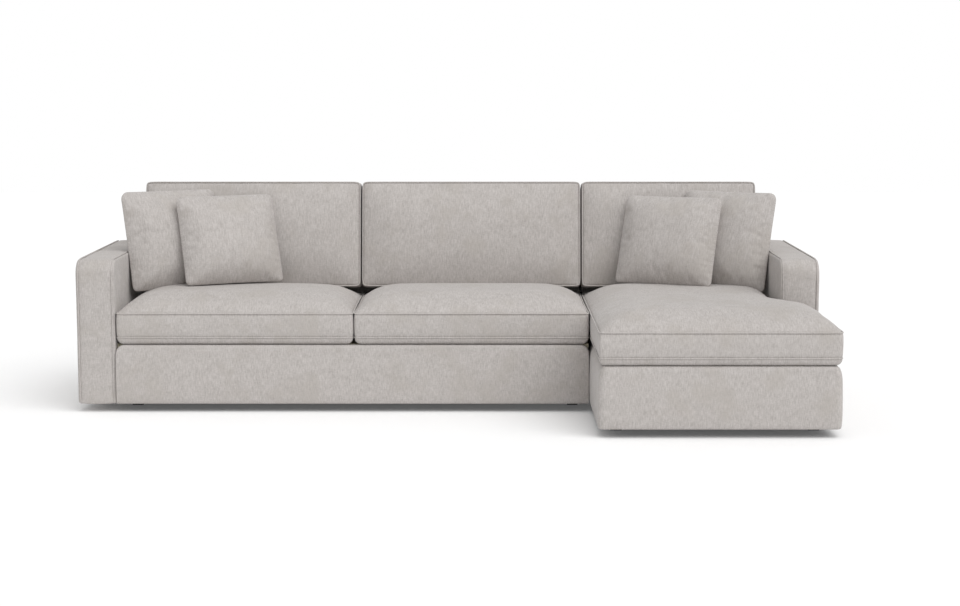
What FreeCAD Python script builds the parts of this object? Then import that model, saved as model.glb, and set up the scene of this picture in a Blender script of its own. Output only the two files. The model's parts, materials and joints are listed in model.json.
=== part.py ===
import FreeCAD, Part

import os
import re

import Sketcher
from FreeCAD import Placement, Rotation, Vector

# Driving sizes, in millimetres and degrees
SIZES = {
    "total_width": 3070,
    "sofa_depth": 950,
    "chaise_reach": 585,
    "chaise_width": 945,
    "module_gap": 4,
    "arm_width": 160,
    "arm_height": 635,
    "arm_nose": 57,
    "arm_edge": 14,
    "arm_padding": 12,
    "base_top": 281,
    "floor_gap": 37,
    "border": 25,
    "border_round": 22,
    "border_corner": 33,
    "border_edge": 10,
    "liner": 3,
    "dust": 2,
    "board": 22,
    "panel": 15,
    "deck": 15,
    "web": 2,
    "back_top_depth": 108,
    "rake": 9,
    "back_top": 765,
    "back_padding": 13,
    "top_padding": 12,
    "seat_lip": 31,
    "seat_boxing": 100,
    "seat_crown": 75,
    "seat_split": 982,
    "seat_gap": 3,
    "back_lip": 30,
    "back_boxing": 150,
    "back_crown": 40,
    "back_cushion_height": 452,
    "cushion_waist": 5,
    "cushion_inset": 25,
    "back_arm_gap": 31.5,
    "back_split_left": 11,
    "back_split_right": 7,
    "back_module_gap": 11.5,
    "back_short_arm_gap": 23,
    "chaise_edge": 2,
    "drop_height": 30,
    "core_inset": 32,
    "core_floor": 10,
    "pillow_side": 440,
    "pillow_thickness": 135,
    "pillow_waist": 6,
    "pillow_wall": 12,
    "pillow_rim": 72,
    "pillow_play": 2,
    "pillow_approach": 6,
    "pillow_rear_start": 300,
    "pillow_front_start": 180,
    "pillow_rear_inset": 290,
    "pillow_rear_yaw": 33,
    "pillow_rear_lean": 16,
    "pillow_front_inset": 420,
    "pillow_front_yaw": 26,
    "pillow_front_lean": 20,
    "lean_gap": 0.9,
    "clearance": 0.3,
    "web_width": 50,
    "block": 70,
    "foot_setback": 120,
    "cross_height": 120,
    "foot_top": 56,
    "foot_bottom": 44,
    "foot_socket": 20,
    "bolt": 8,
    "bolt_reach": 45,
    "bolt_head": 5,
    "bolt_setback": 250,
    "bolt_height": 150,
    "screw": 5,
    "screw_head": 2.5,
    "screw_bite": 28,
    "screw_inset": 13,
    "bore_play": 0.2,
    "plate": 3,
    "plate_width": 90,
    "plate_front": 320,
    "plate_rear": 270,
    "plate_lap": 40,
    "bridge_width": 40,
    "bridge_lap": 20,
}

# Places that follow from the driving sizes
PLACES = {
    "left_end": "-total_width / 2",
    "right_end": "total_width / 2",
    "toe": "-(sofa_depth + chaise_reach) / 2",
    "front": "toe + chaise_reach",
    "rear": "front + sofa_depth",
    "left_inner": "left_end + arm_width",
    "right_inner": "right_end - arm_width",
    "chaise_left": "right_end - chaise_width",
    "sofa_right": "chaise_left - module_gap",
    "rail_bottom": "floor_gap + dust",
    "rail_top": "base_top - deck - 2 * web",
    "rail_height": "rail_top - rail_bottom",
    "deck_bottom": "rail_top + 2 * web",
    "sofa_frame_right": "sofa_right - liner",
    "rear_face": "rear - liner",
    "rear_rail_front": "rear_face - board",
    "sofa_rail_front": "front + border",
    "sofa_inside_front": "sofa_rail_front + board",
    "sofa_rail_length": "rear_rail_front - sofa_inside_front",
    "sofa_frame_width": "sofa_frame_right - left_inner",
    "toe_rail_front": "toe + border",
    "toe_inside": "toe_rail_front + board",
    "chaise_frame_left": "chaise_left + border",
    "chaise_frame_right": "right_end - border",
    "arm_rail_left": "right_inner - board",
    "sofa_back_left": "left_inner + liner",
    "sofa_back_width": "sofa_frame_right - sofa_back_left",
    "chaise_back_width": "right_inner - liner - chaise_frame_left",
    "back_foot": "rear - back_top_depth - (back_top - base_top) * tan(rake)",
    "post_face": "back_padding + web",
    "post_top": "back_top - top_padding - board",
}


def bind(text):
    """Turn a size expression in plain words into one that reads the sheet."""

    def swap(match):
        word = match.group(0)
        if word in PLACES:
            return "(" + bind(PLACES[word]) + ")"
        if word in SIZES:
            return "Sizes." + word
        return word

    return re.sub(r"[a-z_]+", swap, str(text))


doc = FreeCAD.newDocument("SectionalSofa")
sheet = doc.addObject("Spreadsheet::Sheet", "Sizes")
for row, (word, value) in enumerate(SIZES.items(), start=1):
    sheet.set(f"A{row}", word)
    sheet.set(f"B{row}", str(value))
    sheet.setAlias(f"B{row}", word)
doc.recompute()

NODES = {}
# Flats on the hidden bolts, screws and their bores, which keep the model light
ROD_FLATS = 8


def size(text):
    """Value of a size expression, read from the sheet."""
    value = sheet.evalExpression(bind(text))
    return float(getattr(value, "Value", value))


def keep(node, name):
    """Label a document object as a node of the part."""
    node.Label = name
    NODES[name] = node
    return node


def put(item, base):
    """Bind the three coordinates of an object's placement."""
    for axis, text in zip("xyz", base):
        item.setExpression(f"Placement.Base.{axis}", bind(text))
    return item


def box(name, base, extent):
    """A board or block: corner at base, sizes along X, Y and Z."""
    item = doc.addObject("Part::Box", name)
    for side, text in zip(("Length", "Width", "Height"), extent):
        item.setExpression(side, bind(text))
    return put(item, base)


def rod(name, base, radius, length, axis="Z"):
    """A hidden bolt, screw or bore from base along one axis, drawn with few flats."""
    item = doc.addObject("Part::Prism", name)
    item.Polygon = ROD_FLATS
    item.setExpression("Circumradius", bind(radius))
    item.setExpression("Height", bind(length))
    if axis == "X":
        item.Placement = Placement(Vector(), Rotation(Vector(0, 1, 0), 90))
    return put(item, base)


def group(name, items):
    """Equal pieces that share one node as separate solids."""
    item = doc.addObject("Part::Compound", name)
    item.Links = items
    return item


def fuse(name, items):
    """Pieces that are one."""
    item = doc.addObject("Part::MultiFuse", name)
    item.Shapes = items
    item.Refine = True
    return item


def cut(name, base, tools):
    """A piece with holes or a hollow."""
    tool = tools[0] if len(tools) == 1 else group(name + "_tools", tools)
    item = doc.addObject("Part::Cut", name)
    item.Base = base
    item.Tool = tool
    return item


PLANES = {"XY": "XY_Plane", "XZ": "XZ_Plane", "YZ": "YZ_Plane"}


def prism(name, plane, corners, length, base=(0, 0, 0)):
    """A body padded from an outline whose corners are bound to the sheet."""
    body = doc.addObject("PartDesign::Body", name)
    sketch = body.newObject("Sketcher::SketchObject", name + "_outline")
    flat = [f for f in body.Origin.OriginFeatures if f.Role == PLANES[plane]][0]
    sketch.AttachmentSupport = [(flat, "")]
    sketch.MapMode = "FlatFace"
    points = [Vector(size(a), size(b), 0) for a, b in corners]
    for start, end in zip(points, points[1:] + points[:1]):
        sketch.addGeometry(Part.LineSegment(start, end), False)
    for line in range(len(points)):
        ahead = (line + 1) % len(points)
        sketch.addConstraint(Sketcher.Constraint("Coincident", line, 2, ahead, 1))
    for line, (across, up) in enumerate(corners):
        for kind, text in (("DistanceX", across), ("DistanceY", up)):
            mark = sketch.addConstraint(Sketcher.Constraint(kind, -1, 1, line, 1, size(text)))
            sketch.setExpression(f"Constraints[{mark}]", bind(text))
    pad = body.newObject("PartDesign::Pad", name + "_pad")
    pad.Profile = sketch
    pad.setExpression("Length", bind(length))
    # The normal of the XZ plane points to the front
    pad.Reversed = plane == "XZ"
    body.Tip = pad
    doc.recompute()
    return put(body, base)


def round_off(body, radius, wanted):
    """Round the edges of a body whose middles pass a test on X, Y and Z."""
    tip = body.Tip
    edges = enumerate(tip.Shape.Edges, start=1)
    names = [f"Edge{i}" for i, edge in edges if wanted(*edge.CenterOfMass)]
    fillet = body.newObject("PartDesign::Fillet", f"{body.Name}_round_{len(body.Group)}")
    fillet.Base = (tip, names)
    fillet.setExpression("Radius", bind(radius))
    body.Tip = fillet
    doc.recompute()
    return body


def near(value, text):
    """True where a coordinate is at a place on the sheet."""
    return abs(value - size(text)) < 0.01


# Where the posts stand, from the left end of each module's frame
SOFA_POSTS = [f"sofa_back_left + {i} * (sofa_back_width - board) / 3" for i in range(4)]
CHAISE_POSTS = [f"chaise_frame_left + {i} * (chaise_back_width - board) / 2" for i in range(3)]

# Where arm bolts, module connectors and feet sit
BOLT_ROWS = ["front + bolt_setback", "rear - bolt_setback"]
BOLT_LEVEL = "rail_bottom + bolt_height"
CONNECTOR_ROWS = ["front + plate_front", "rear - plate_rear"]
SCREW_STEPS = ["screw_inset", "plate_width - screw_inset"]
SOFA_BLOCKS = [
    (x, y)
    for x in ("left_inner + board", "sofa_frame_right - board - block")
    for y in ("sofa_inside_front + foot_setback", "rear_rail_front - block")
]
CHAISE_BLOCKS = [
    ("chaise_frame_left + board", "toe_inside + foot_setback"),
    ("chaise_frame_right - board - block", "toe_inside + foot_setback"),
    ("chaise_frame_left + board", "rear_rail_front - block"),
    ("arm_rail_left - block", "rear_rail_front - block"),
]
SOFA_SCREWS = [
    ("sofa_frame_right - board / 2", f"{row} + {step}")
    for row in CONNECTOR_ROWS
    for step in SCREW_STEPS
]
CHAISE_SCREWS = [
    ("chaise_frame_left + board / 2", f"{row} + {step}")
    for row in CONNECTOR_ROWS
    for step in SCREW_STEPS
]


def upright_bores(name, places, width, bottom, length):
    """Clearance holes along Z."""
    radius = f"({width} + bore_play) / 2"
    return [
        rod(f"{name}_bore_{i}", (x, y, bottom), radius, length)
        for i, (x, y) in enumerate(places)
    ]


def level_bores(name, start, length):
    """Clearance holes along X for the arm bolts."""
    radius = "(bolt + bore_play) / 2"
    return [
        rod(f"{name}_bore_{i}", (start, y, BOLT_LEVEL), radius, length, "X")
        for i, y in enumerate(BOLT_ROWS)
    ]


def centred(blocks):
    """Middles of the foot blocks."""
    return [(f"{x} + block / 2", f"{y} + block / 2") for x, y in blocks]


# Rails of the sofa module
def rail(name, x, y, along_x, along_y):
    """A board on edge, as high as every rail."""
    return box(name, (x, y, "rail_bottom"), (along_x, along_y, "rail_height"))


keep(
    rail("sofa_front_board", "left_inner", "sofa_rail_front", "sofa_frame_width", "board"),
    "sofa_front_rail",
)
keep(
    rail("sofa_rear_board", "left_inner", "rear_rail_front", "sofa_frame_width", "board"),
    "sofa_rear_rail",
)
sofa_ends = [
    rail(f"sofa_end_board_{i}", x, "sofa_inside_front", "board", "sofa_rail_length")
    for i, x in enumerate(("left_inner", "sofa_frame_right - board"))
]
keep(
    group(
        "sofa_ends",
        [
            cut("sofa_arm_end", sofa_ends[0], level_bores("sofa_arm_end", "left_inner", "board")),
            cut(
                "sofa_inner_end",
                sofa_ends[1],
                upright_bores("sofa_inner_end", SOFA_SCREWS, "screw", "rail_bottom", "screw_bite"),
            ),
        ],
    ),
    "sofa_end_rails",
)
keep(
    group(
        "sofa_cross",
        [
            box(
                f"sofa_cross_board_{i}",
                (x, "sofa_inside_front", "rail_top - cross_height"),
                ("board", "sofa_rail_length", "cross_height"),
            )
            for i, x in enumerate(SOFA_POSTS[1:-1])
        ],
    ),
    "sofa_cross_rails",
)

# Rails of the chaise module, stepped round the foot of the right arm
chaise_inside = "right_inner - chaise_frame_left"
keep(
    rail(
        "chaise_front_board",
        "chaise_frame_left",
        "toe_rail_front",
        "chaise_frame_right - chaise_frame_left",
        "board",
    ),
    "chaise_front_rail",
)
keep(
    rail("chaise_rear_board", "chaise_frame_left", "rear_rail_front", chaise_inside, "board"),
    "chaise_rear_rail",
)
keep(
    cut(
        "chaise_left",
        rail("chaise_left_board", "chaise_frame_left", "toe_inside", "board", "rear_rail_front - toe_inside"),
        upright_bores("chaise_left", CHAISE_SCREWS, "screw", "rail_bottom", "screw_bite"),
    ),
    "chaise_left_rail",
)
keep(
    rail("chaise_toe_board", "chaise_frame_right - board", "toe_inside", "board", "front - toe_inside"),
    "chaise_toe_side_rail",
)
keep(
    rail(
        "chaise_step_board",
        "right_inner",
        "front - board",
        "chaise_frame_right - board - right_inner",
        "board",
    ),
    "chaise_step_rail",
)
keep(
    cut(
        "chaise_arm_side",
        rail(
            "chaise_arm_board",
            "arm_rail_left",
            "front - board",
            "board",
            "rear_rail_front - front + board",
        ),
        level_bores("chaise_arm_side", "arm_rail_left", "board"),
    ),
    "chaise_arm_rail",
)
keep(
    box(
        "chaise_cross_board",
        (CHAISE_POSTS[1], "toe_inside", "rail_top - cross_height"),
        ("board", "rear_rail_front - toe_inside", "cross_height"),
    ),
    "chaise_cross_rail",
)

# Blocks on the rails, with the feet and their bolts under them
def tapered_foot(name, middle):
    """A square moulded foot, wider at the top, standing on the floor."""
    foot = doc.addObject("Part::Wedge", name)
    for side, across in (("X", "foot_bottom"), ("Z", "foot_bottom"), ("X2", "foot_top"), ("Z2", "foot_top")):
        foot.setExpression(f"{side}min", bind(f"-{across} / 2"))
        foot.setExpression(f"{side}max", bind(f"{across} / 2"))
    foot.Ymin = 0
    foot.setExpression("Ymax", bind("floor_gap"))
    # The wedge tapers along Y, so it is turned to stand up
    foot.Placement = Placement(Vector(), Rotation(Vector(1, 0, 0), 90))
    return put(foot, (*middle, "0"))


blocks = []
feet = []
bolts = []
for i, (x, y) in enumerate(SOFA_BLOCKS + CHAISE_BLOCKS):
    middle = (f"{x} + block / 2", f"{y} + block / 2")
    block = box(f"block_{i}", (x, y, "rail_bottom"), ("block", "block", "block"))
    bores = upright_bores(f"block_{i}", [middle], "bolt", "rail_bottom", "bolt_reach")
    blocks.append(cut(f"bored_block_{i}", block, bores))
    socket = upright_bores(f"foot_{i}", [middle], "bolt", "floor_gap - foot_socket", "foot_socket")
    feet.append(cut(f"foot_{i}", tapered_foot(f"foot_block_{i}", middle), socket))
    bolts.append(
        rod(
            f"bolt_{i}",
            (*middle, "floor_gap - foot_socket"),
            "bolt / 2",
            "foot_socket + dust + bolt_reach",
        )
    )
keep(group("blocks", blocks), "foot_blocks")
keep(group("all_feet", feet), "feet")
keep(group("foot_hardware", bolts), "foot_bolts")


# Dust covers under the frames
def dust_cover(name, outline, blocks, screws):
    """A cloth under one frame, with holes for its foot bolts and connector screws."""
    sheet_piece = prism(f"{name}_sheet", "XY", outline, "dust", ("0", "0", "floor_gap"))
    holes = upright_bores(f"{name}_foot", centred(blocks), "bolt", "floor_gap", "dust")
    holes += upright_bores(f"{name}_screw", screws, "screw", "floor_gap", "dust")
    return keep(cut(f"{name}_holed", sheet_piece, holes), f"{name}_dust_cover")


dust_cover(
    "sofa",
    [
        ("left_inner", "sofa_rail_front"),
        ("sofa_frame_right", "sofa_rail_front"),
        ("sofa_frame_right", "rear_face"),
        ("left_inner", "rear_face"),
    ],
    SOFA_BLOCKS,
    SOFA_SCREWS,
)
dust_cover(
    "chaise",
    [
        ("chaise_frame_left", "toe_rail_front"),
        ("chaise_frame_right", "toe_rail_front"),
        ("chaise_frame_right", "front"),
        ("right_inner", "front"),
        ("right_inner", "rear_face"),
        ("chaise_frame_left", "rear_face"),
    ],
    CHAISE_BLOCKS,
    CHAISE_SCREWS,
)


# Connectors: a stepped bracket under the sofa carries a tongue under the chaise
def holed_plate(name, plate, screws):
    """A connector plate with its screw holes."""
    return cut(name, plate, upright_bores(name, screws, "screw", "floor_gap - plate", "plate"))


brackets = []
tongues = []
for i, row in enumerate(CONNECTOR_ROWS):
    flat = box(
        f"bracket_flat_{i}",
        ("sofa_frame_right - board - plate_lap", row, "floor_gap - plate"),
        ("sofa_right - sofa_frame_right + board + plate_lap", "plate_width", "plate"),
    )
    bridge = box(
        f"bracket_bridge_{i}",
        (
            "sofa_right - bridge_lap",
            f"{row} + (plate_width - bridge_width) / 2",
            "floor_gap - 2 * plate",
        ),
        ("chaise_frame_left + board + plate_lap - sofa_right", "bridge_width", "plate"),
    )
    pair = slice(2 * i, 2 * i + 2)
    stepped = fuse(f"bracket_plate_{i}", [flat, bridge])
    brackets.append(holed_plate(f"bracket_{i}", stepped, SOFA_SCREWS[pair]))
    tongue = box(
        f"tongue_plate_{i}",
        ("chaise_left", row, "floor_gap - plate"),
        ("chaise_frame_left + board + plate_lap - chaise_left", "plate_width", "plate"),
    )
    tongues.append(holed_plate(f"tongue_{i}", tongue, CHAISE_SCREWS[pair]))
keep(group("brackets", brackets), "connector_brackets")
keep(group("tongues", tongues), "connector_tongues")
screws = []
for i, (x, y) in enumerate(SOFA_SCREWS + CHAISE_SCREWS):
    shank = rod(
        f"screw_shank_{i}",
        (x, y, "floor_gap - plate"),
        "screw / 2",
        "plate + dust + screw_bite",
    )
    head = rod(
        f"screw_head_{i}",
        (x, y, "floor_gap - plate - screw_head"),
        "screw",
        "screw_head",
    )
    screws.append(fuse(f"screw_{i}", [shank, head]))
keep(group("screws", screws), "connector_screws")


# Seat webbing, front-to-back strips under side-to-side strips
def strips_along(name, left, width, count, start, end):
    """Webbing strips that run from front to rear."""
    return [
        box(
            f"{name}_long_{i}",
            (f"{left} + ({width}) * {i + 0.5} / {count} - web_width / 2", start, "rail_top"),
            ("web_width", f"{end} - ({start})", "web"),
        )
        for i in range(count)
    ]


def strips_across(name, left, width, count, start, end):
    """Webbing strips that run from side to side, over the others."""
    depth = f"({end} - ({start}))"
    return [
        box(
            f"{name}_wide_{i}",
            (left, f"{start} + {depth} * {i + 0.5} / {count} - web_width / 2", "rail_top + web"),
            (width, "web_width", "web"),
        )
        for i in range(count)
    ]


keep(
    group(
        "sofa_web",
        strips_along("sofa_web", "left_inner", "sofa_frame_width", 9, "sofa_rail_front", "rear_face")
        + strips_across(
            "sofa_web", "left_inner", "sofa_frame_width", 4, "sofa_inside_front", "back_foot"
        ),
    ),
    "sofa_seat_webbing",
)
toe_width = "chaise_frame_right - right_inner"
keep(
    group(
        "chaise_web",
        strips_along(
            "chaise_web", "chaise_frame_left", chaise_inside, 4, "toe_rail_front", "rear_face"
        )
        + strips_along("toe_web", "right_inner", toe_width, 1, "toe_rail_front", "front")
        + strips_across("chaise_web", "chaise_frame_left", chaise_inside, 4, "front", "back_foot")
        + strips_across(
            "toe_web",
            "chaise_frame_left",
            "chaise_frame_right - chaise_frame_left",
            3,
            "toe_inside",
            "front - board",
        ),
    ),
    "chaise_seat_webbing",
)

# Deck pads over the webbing
keep(
    box(
        "sofa_deck",
        ("left_inner", "sofa_inside_front", "deck_bottom"),
        ("sofa_right - left_inner", "back_foot - sofa_inside_front", "deck"),
    ),
    "sofa_deck_pad",
)
keep(
    prism(
        "chaise_deck",
        "XY",
        [
            ("chaise_frame_left + board", "toe_inside"),
            ("chaise_frame_right - board", "toe_inside"),
            ("chaise_frame_right - board", "front"),
            ("right_inner", "front"),
            ("right_inner", "back_foot"),
            ("chaise_frame_left + board", "back_foot"),
        ],
        "deck",
        ("0", "0", "deck_bottom"),
    ),
    "chaise_deck_pad",
)


# Base covers: padded borders with a lip over the rails
def front_lip(name, left, width):
    """Lip of the border's padding over the front rail."""
    return box(name, (left, "sofa_rail_front", "deck_bottom"), (width, "board", "deck"))


sofa_border = prism(
    "sofa_border",
    "XZ",
    [
        ("left_inner", "floor_gap"),
        ("sofa_right", "floor_gap"),
        ("sofa_right", "base_top"),
        ("left_inner", "base_top"),
    ],
    "border",
    ("0", "front", "0"),
)
round_off(
    sofa_border,
    "border_corner",
    lambda x, y, z: near(z, "base_top") and near(y, "border / 2"),
)
round_off(
    sofa_border,
    "border_edge",
    lambda x, y, z: near(y, "0") and z > size("floor_gap") + 1,
)
keep(
    fuse(
        "sofa_base",
        [
            sofa_border,
            front_lip(
                "sofa_lip",
                "left_inner + border_corner",
                "sofa_frame_width - 2 * border_corner",
            ),
            box(
                "sofa_end_wall",
                ("sofa_frame_right", "sofa_rail_front", "floor_gap"),
                ("liner", "rear_face - sofa_rail_front", "rail_top - floor_gap"),
            ),
        ],
    ),
    "sofa_base_cover",
)
chaise_border = prism(
    "chaise_border",
    "XY",
    [
        ("chaise_left", "rear_face"),
        ("chaise_left", "toe"),
        ("right_end", "toe"),
        ("right_end", "front"),
        ("chaise_frame_right", "front"),
        ("chaise_frame_right", "toe_rail_front"),
        ("chaise_frame_left", "toe_rail_front"),
        ("chaise_frame_left", "rear_face"),
    ],
    "base_top - floor_gap",
    ("0", "0", "floor_gap"),
)
round_off(
    chaise_border,
    "border",
    lambda x, y, z: near(y, "toe") and (near(x, "chaise_left") or near(x, "right_end")),
)


def on_outer_top(x, y, z):
    """True on the outer top edges of the chaise border."""
    outside = (
        x < size("chaise_left + border / 2")
        or x > size("right_end - border / 2")
        or y < size("toe + border / 2")
    )
    return outside and near(z, "base_top - floor_gap") and y < size("rear_face") - 1


round_off(chaise_border, "border_round", lambda x, y, z: on_outer_top(x, y, z) and not near(y, "front"))
keep(
    fuse(
        "chaise_base",
        [
            chaise_border,
            prism(
                "chaise_lip",
                "XY",
                [
                    ("chaise_frame_left", "back_foot"),
                    ("chaise_frame_left", "toe_rail_front"),
                    ("chaise_frame_right", "toe_rail_front"),
                    ("chaise_frame_right", "front"),
                    ("chaise_frame_right - board", "front"),
                    ("chaise_frame_right - board", "toe_inside"),
                    ("chaise_frame_left + board", "toe_inside"),
                    ("chaise_frame_left + board", "back_foot"),
                ],
                "deck",
                ("0", "0", "deck_bottom"),
            ),
        ],
    ),
    "chaise_base_cover",
)


# Backs: tapered posts, a top rail, raked webbing and a folded cover
def raked(level, offset="0"):
    """Place of the raked inside back at a level, moved to the rear by an offset."""
    return f"back_foot + ({level} - base_top) * tan(rake) + {offset}"


def back(name, left, width, frame_left, frame_width, posts):
    """One module's back: posts, top rail, webbing and cover."""
    post_outline = [
        (raked("rail_top", "post_face"), "rail_top"),
        ("rear_face", "rail_top"),
        ("rear_face", "post_top"),
        (raked("post_top", "post_face"), "post_top"),
    ]
    keep(
        group(
            f"{name}_posts",
            [
                prism(f"{name}_post_{i}", "YZ", post_outline, "board", (x, "0", "0"))
                for i, x in enumerate(posts)
            ],
        ),
        f"{name}_back_posts",
    )
    top_front = raked("back_top - top_padding", "post_face")
    keep(
        box(
            f"{name}_top_board",
            (frame_left, top_front, "post_top"),
            (frame_width, f"rear_face - ({top_front})", "board"),
        ),
        f"{name}_back_top_rail",
    )
    strips = []
    for i in range(3):
        level = f"base_top + (post_top - base_top) * {i + 0.5} / 3 - web_width / 2"
        strip = box(
            f"{name}_back_strip_{i}",
            (frame_left, raked(level, "back_padding"), level),
            (frame_width, "web * cos(rake)", "web_width"),
        )
        strip.Placement.Rotation = Rotation(Vector(-1, 0, 0), size("rake"))
        strip.setExpression("Placement.Rotation.Angle", bind("rake"))
        strips.append(strip)
    keep(group(f"{name}_back_strips", strips), f"{name}_back_webbing")
    cover = prism(
        f"{name}_back_fold",
        "YZ",
        [
            (raked("base_top"), "base_top"),
            (raked("back_top"), "back_top"),
            ("rear", "back_top"),
            ("rear", "floor_gap"),
            ("rear_face", "floor_gap"),
            ("rear_face", "back_top - top_padding"),
            (raked("back_top - top_padding", "back_padding"), "back_top - top_padding"),
            (raked("base_top", "back_padding"), "base_top"),
        ],
        width,
        (left, "0", "0"),
    )
    round_off(cover, "border_edge", lambda x, y, z: near(z, "back_top") and near(x, f"({width}) / 2"))
    end_outline = [
        (raked("base_top", "border_edge"), "base_top"),
        (raked("back_top - border_edge", "border_edge"), "back_top - border_edge"),
        ("rear_face", "back_top - border_edge"),
        ("rear_face", "base_top"),
    ]
    ends = [
        prism(f"{name}_back_end_{i}", "YZ", end_outline, "liner", (x, "0", "0"))
        for i, x in enumerate((left, f"{left} + ({width}) - liner"))
    ]
    keep(fuse(f"{name}_back_closed", [cover, *ends]), f"{name}_back_cover")


back("sofa", "left_inner", "sofa_right - left_inner", "sofa_back_left", "sofa_back_width", SOFA_POSTS)
back(
    "chaise",
    "chaise_left",
    "right_inner - chaise_left",
    "chaise_frame_left",
    "chaise_back_width",
    CHAISE_POSTS,
)


# Arms: a rounded cover over two side panels, posts and a top board
def arm_side(name, inset, bottom, nose, left, width):
    """Side view of the arm, set in from the outside and rounded at its nose."""
    outline = [
        (f"front + {inset}", bottom),
        (f"rear - {inset}", bottom),
        (f"rear - {inset}", f"arm_height - {inset}"),
        (f"front + {inset}", f"arm_height - {inset}"),
    ]
    side = prism(name, "YZ", outline, width, (left, "0", "0"))
    return round_off(
        side,
        nose,
        lambda x, y, z: near(y, f"front + {inset}") and near(z, f"arm_height - {inset}"),
    )


def arm(name, left, inner_panel, bolt_start, head_start):
    """One arm: keeps its cover and returns its panels, posts, top board and bolts."""
    cover = arm_side(f"{name}_shell", "0", "floor_gap", "arm_nose", left, "arm_width")
    round_off(
        cover,
        "arm_edge",
        lambda x, y, z: z > size("floor_gap") + 1 and (near(x, "0") or near(x, "arm_width")),
    )
    hollow = arm_side(
        f"{name}_hollow",
        "arm_padding",
        "rail_bottom",
        "arm_nose - arm_padding",
        f"{left} + arm_padding",
        "arm_width - 2 * arm_padding",
    )
    through = level_bores(f"{name}_cover", left, "arm_width")
    # The bores go through the inner wall alone
    wall_start = left if inner_panel == "left" else f"{left} + arm_width - arm_padding - panel"
    inner_wall = box(
        f"{name}_inner_wall",
        (wall_start, "front", "rail_bottom"),
        ("panel + arm_padding", "sofa_depth", "rail_height"),
    )
    bores = doc.addObject("Part::Common", f"{name}_wall_bores")
    bores.Base = group(f"{name}_through", through)
    bores.Tool = inner_wall
    keep(cut(f"{name}_bored", cut(f"{name}_open", cover, [hollow]), [bores]), f"{name}_cover")
    panels = []
    for i, inner in enumerate((False, True)):
        at_left = inner == (inner_panel == "left")
        start = f"{left} + arm_padding" if at_left else f"{left} + arm_width - arm_padding - panel"
        side = arm_side(
            f"{name}_panel_{i}",
            "arm_padding",
            "rail_bottom",
            "arm_nose - arm_padding",
            start,
            "panel",
        )
        if inner:
            side = cut(f"{name}_bored_panel", side, level_bores(f"{name}_panel", start, "panel"))
        panels.append(side)
    inside = (f"{left} + arm_padding + panel", "arm_width - 2 * arm_padding - 2 * panel")
    posts = [
        box(
            f"{name}_post_{i}",
            (inside[0], y, "rail_bottom"),
            (inside[1], "2 * board", "arm_height - arm_padding - board - rail_bottom"),
        )
        for i, y in enumerate(("front + board", "rear - arm_padding - 2 * board"))
    ]
    top = box(
        f"{name}_top",
        (inside[0], "front + arm_nose", "arm_height - arm_padding - board"),
        (inside[1], "sofa_depth - arm_nose - arm_padding", "board"),
    )
    bolts = []
    for i, y in enumerate(BOLT_ROWS):
        shank = rod(
            f"{name}_shank_{i}",
            (bolt_start, y, BOLT_LEVEL),
            "bolt / 2",
            "panel + arm_padding + board",
            "X",
        )
        head = rod(f"{name}_head_{i}", (head_start, y, BOLT_LEVEL), "bolt", "bolt_head", "X")
        bolts.append(fuse(f"{name}_bolt_{i}", [shank, head]))
    return panels, posts, top, bolts


left_arm = arm(
    "left_arm",
    "left_end",
    "right",
    "left_inner - arm_padding - panel",
    "left_inner - arm_padding - panel - bolt_head",
)
right_arm = arm(
    "right_arm",
    "right_inner",
    "left",
    "right_inner - board",
    "right_inner + arm_padding + panel",
)
keep(group("arm_side_panels", left_arm[0] + right_arm[0]), "arm_panels")
keep(group("arm_uprights", left_arm[1] + right_arm[1]), "arm_posts")
keep(group("arm_tops", [left_arm[2], right_arm[2]]), "arm_top_boards")
keep(group("arm_hardware", left_arm[3] + right_arm[3]), "arm_bolts")

doc.recompute()

# Distance in from an edge of a cushion, and how much of the crown is reached there
SHOULDER = ((30, 0.36), (95, 0.74), (230, 1.0))
SETTLED_SHOULDER = ((30, 0.30), (95, 0.50), (230, 0.84))
SHORT_SHOULDER = ((30, 0.42), (95, 0.82))


def closed(points):
    """Closed outline through a row of points."""
    return Part.makePolygon(points + points[:1])


def crown_section(left, right, depth, lip, boxing, crown, inset, tucked):
    """Outline of a boxed cushion at one depth, from its rounded floor to its crown."""
    top = lip + boxing
    outline = [Vector(left + inset, depth, tucked), Vector(right - inset, depth, tucked)]
    outline += [Vector(right, depth, lip), Vector(right, depth, top)]
    outline += [Vector(right - off, depth, top + crown * share) for off, share in SHOULDER]
    outline += [Vector(left + off, depth, top + crown * share) for off, share in reversed(SHOULDER)]
    outline += [Vector(left, depth, top), Vector(left, depth, lip)]
    return closed(outline)


def depths_of(length, start, finish):
    """Depths of the sections, with the share of the crown reached at each."""
    rising = [(off, share) for off, share in start]
    falling = [(length - off, share) for off, share in reversed(finish)]
    return [(0.0, 0.02)] + rising + [(length / 2, 1.0)] + falling + [(length, 0.02)]


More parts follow.
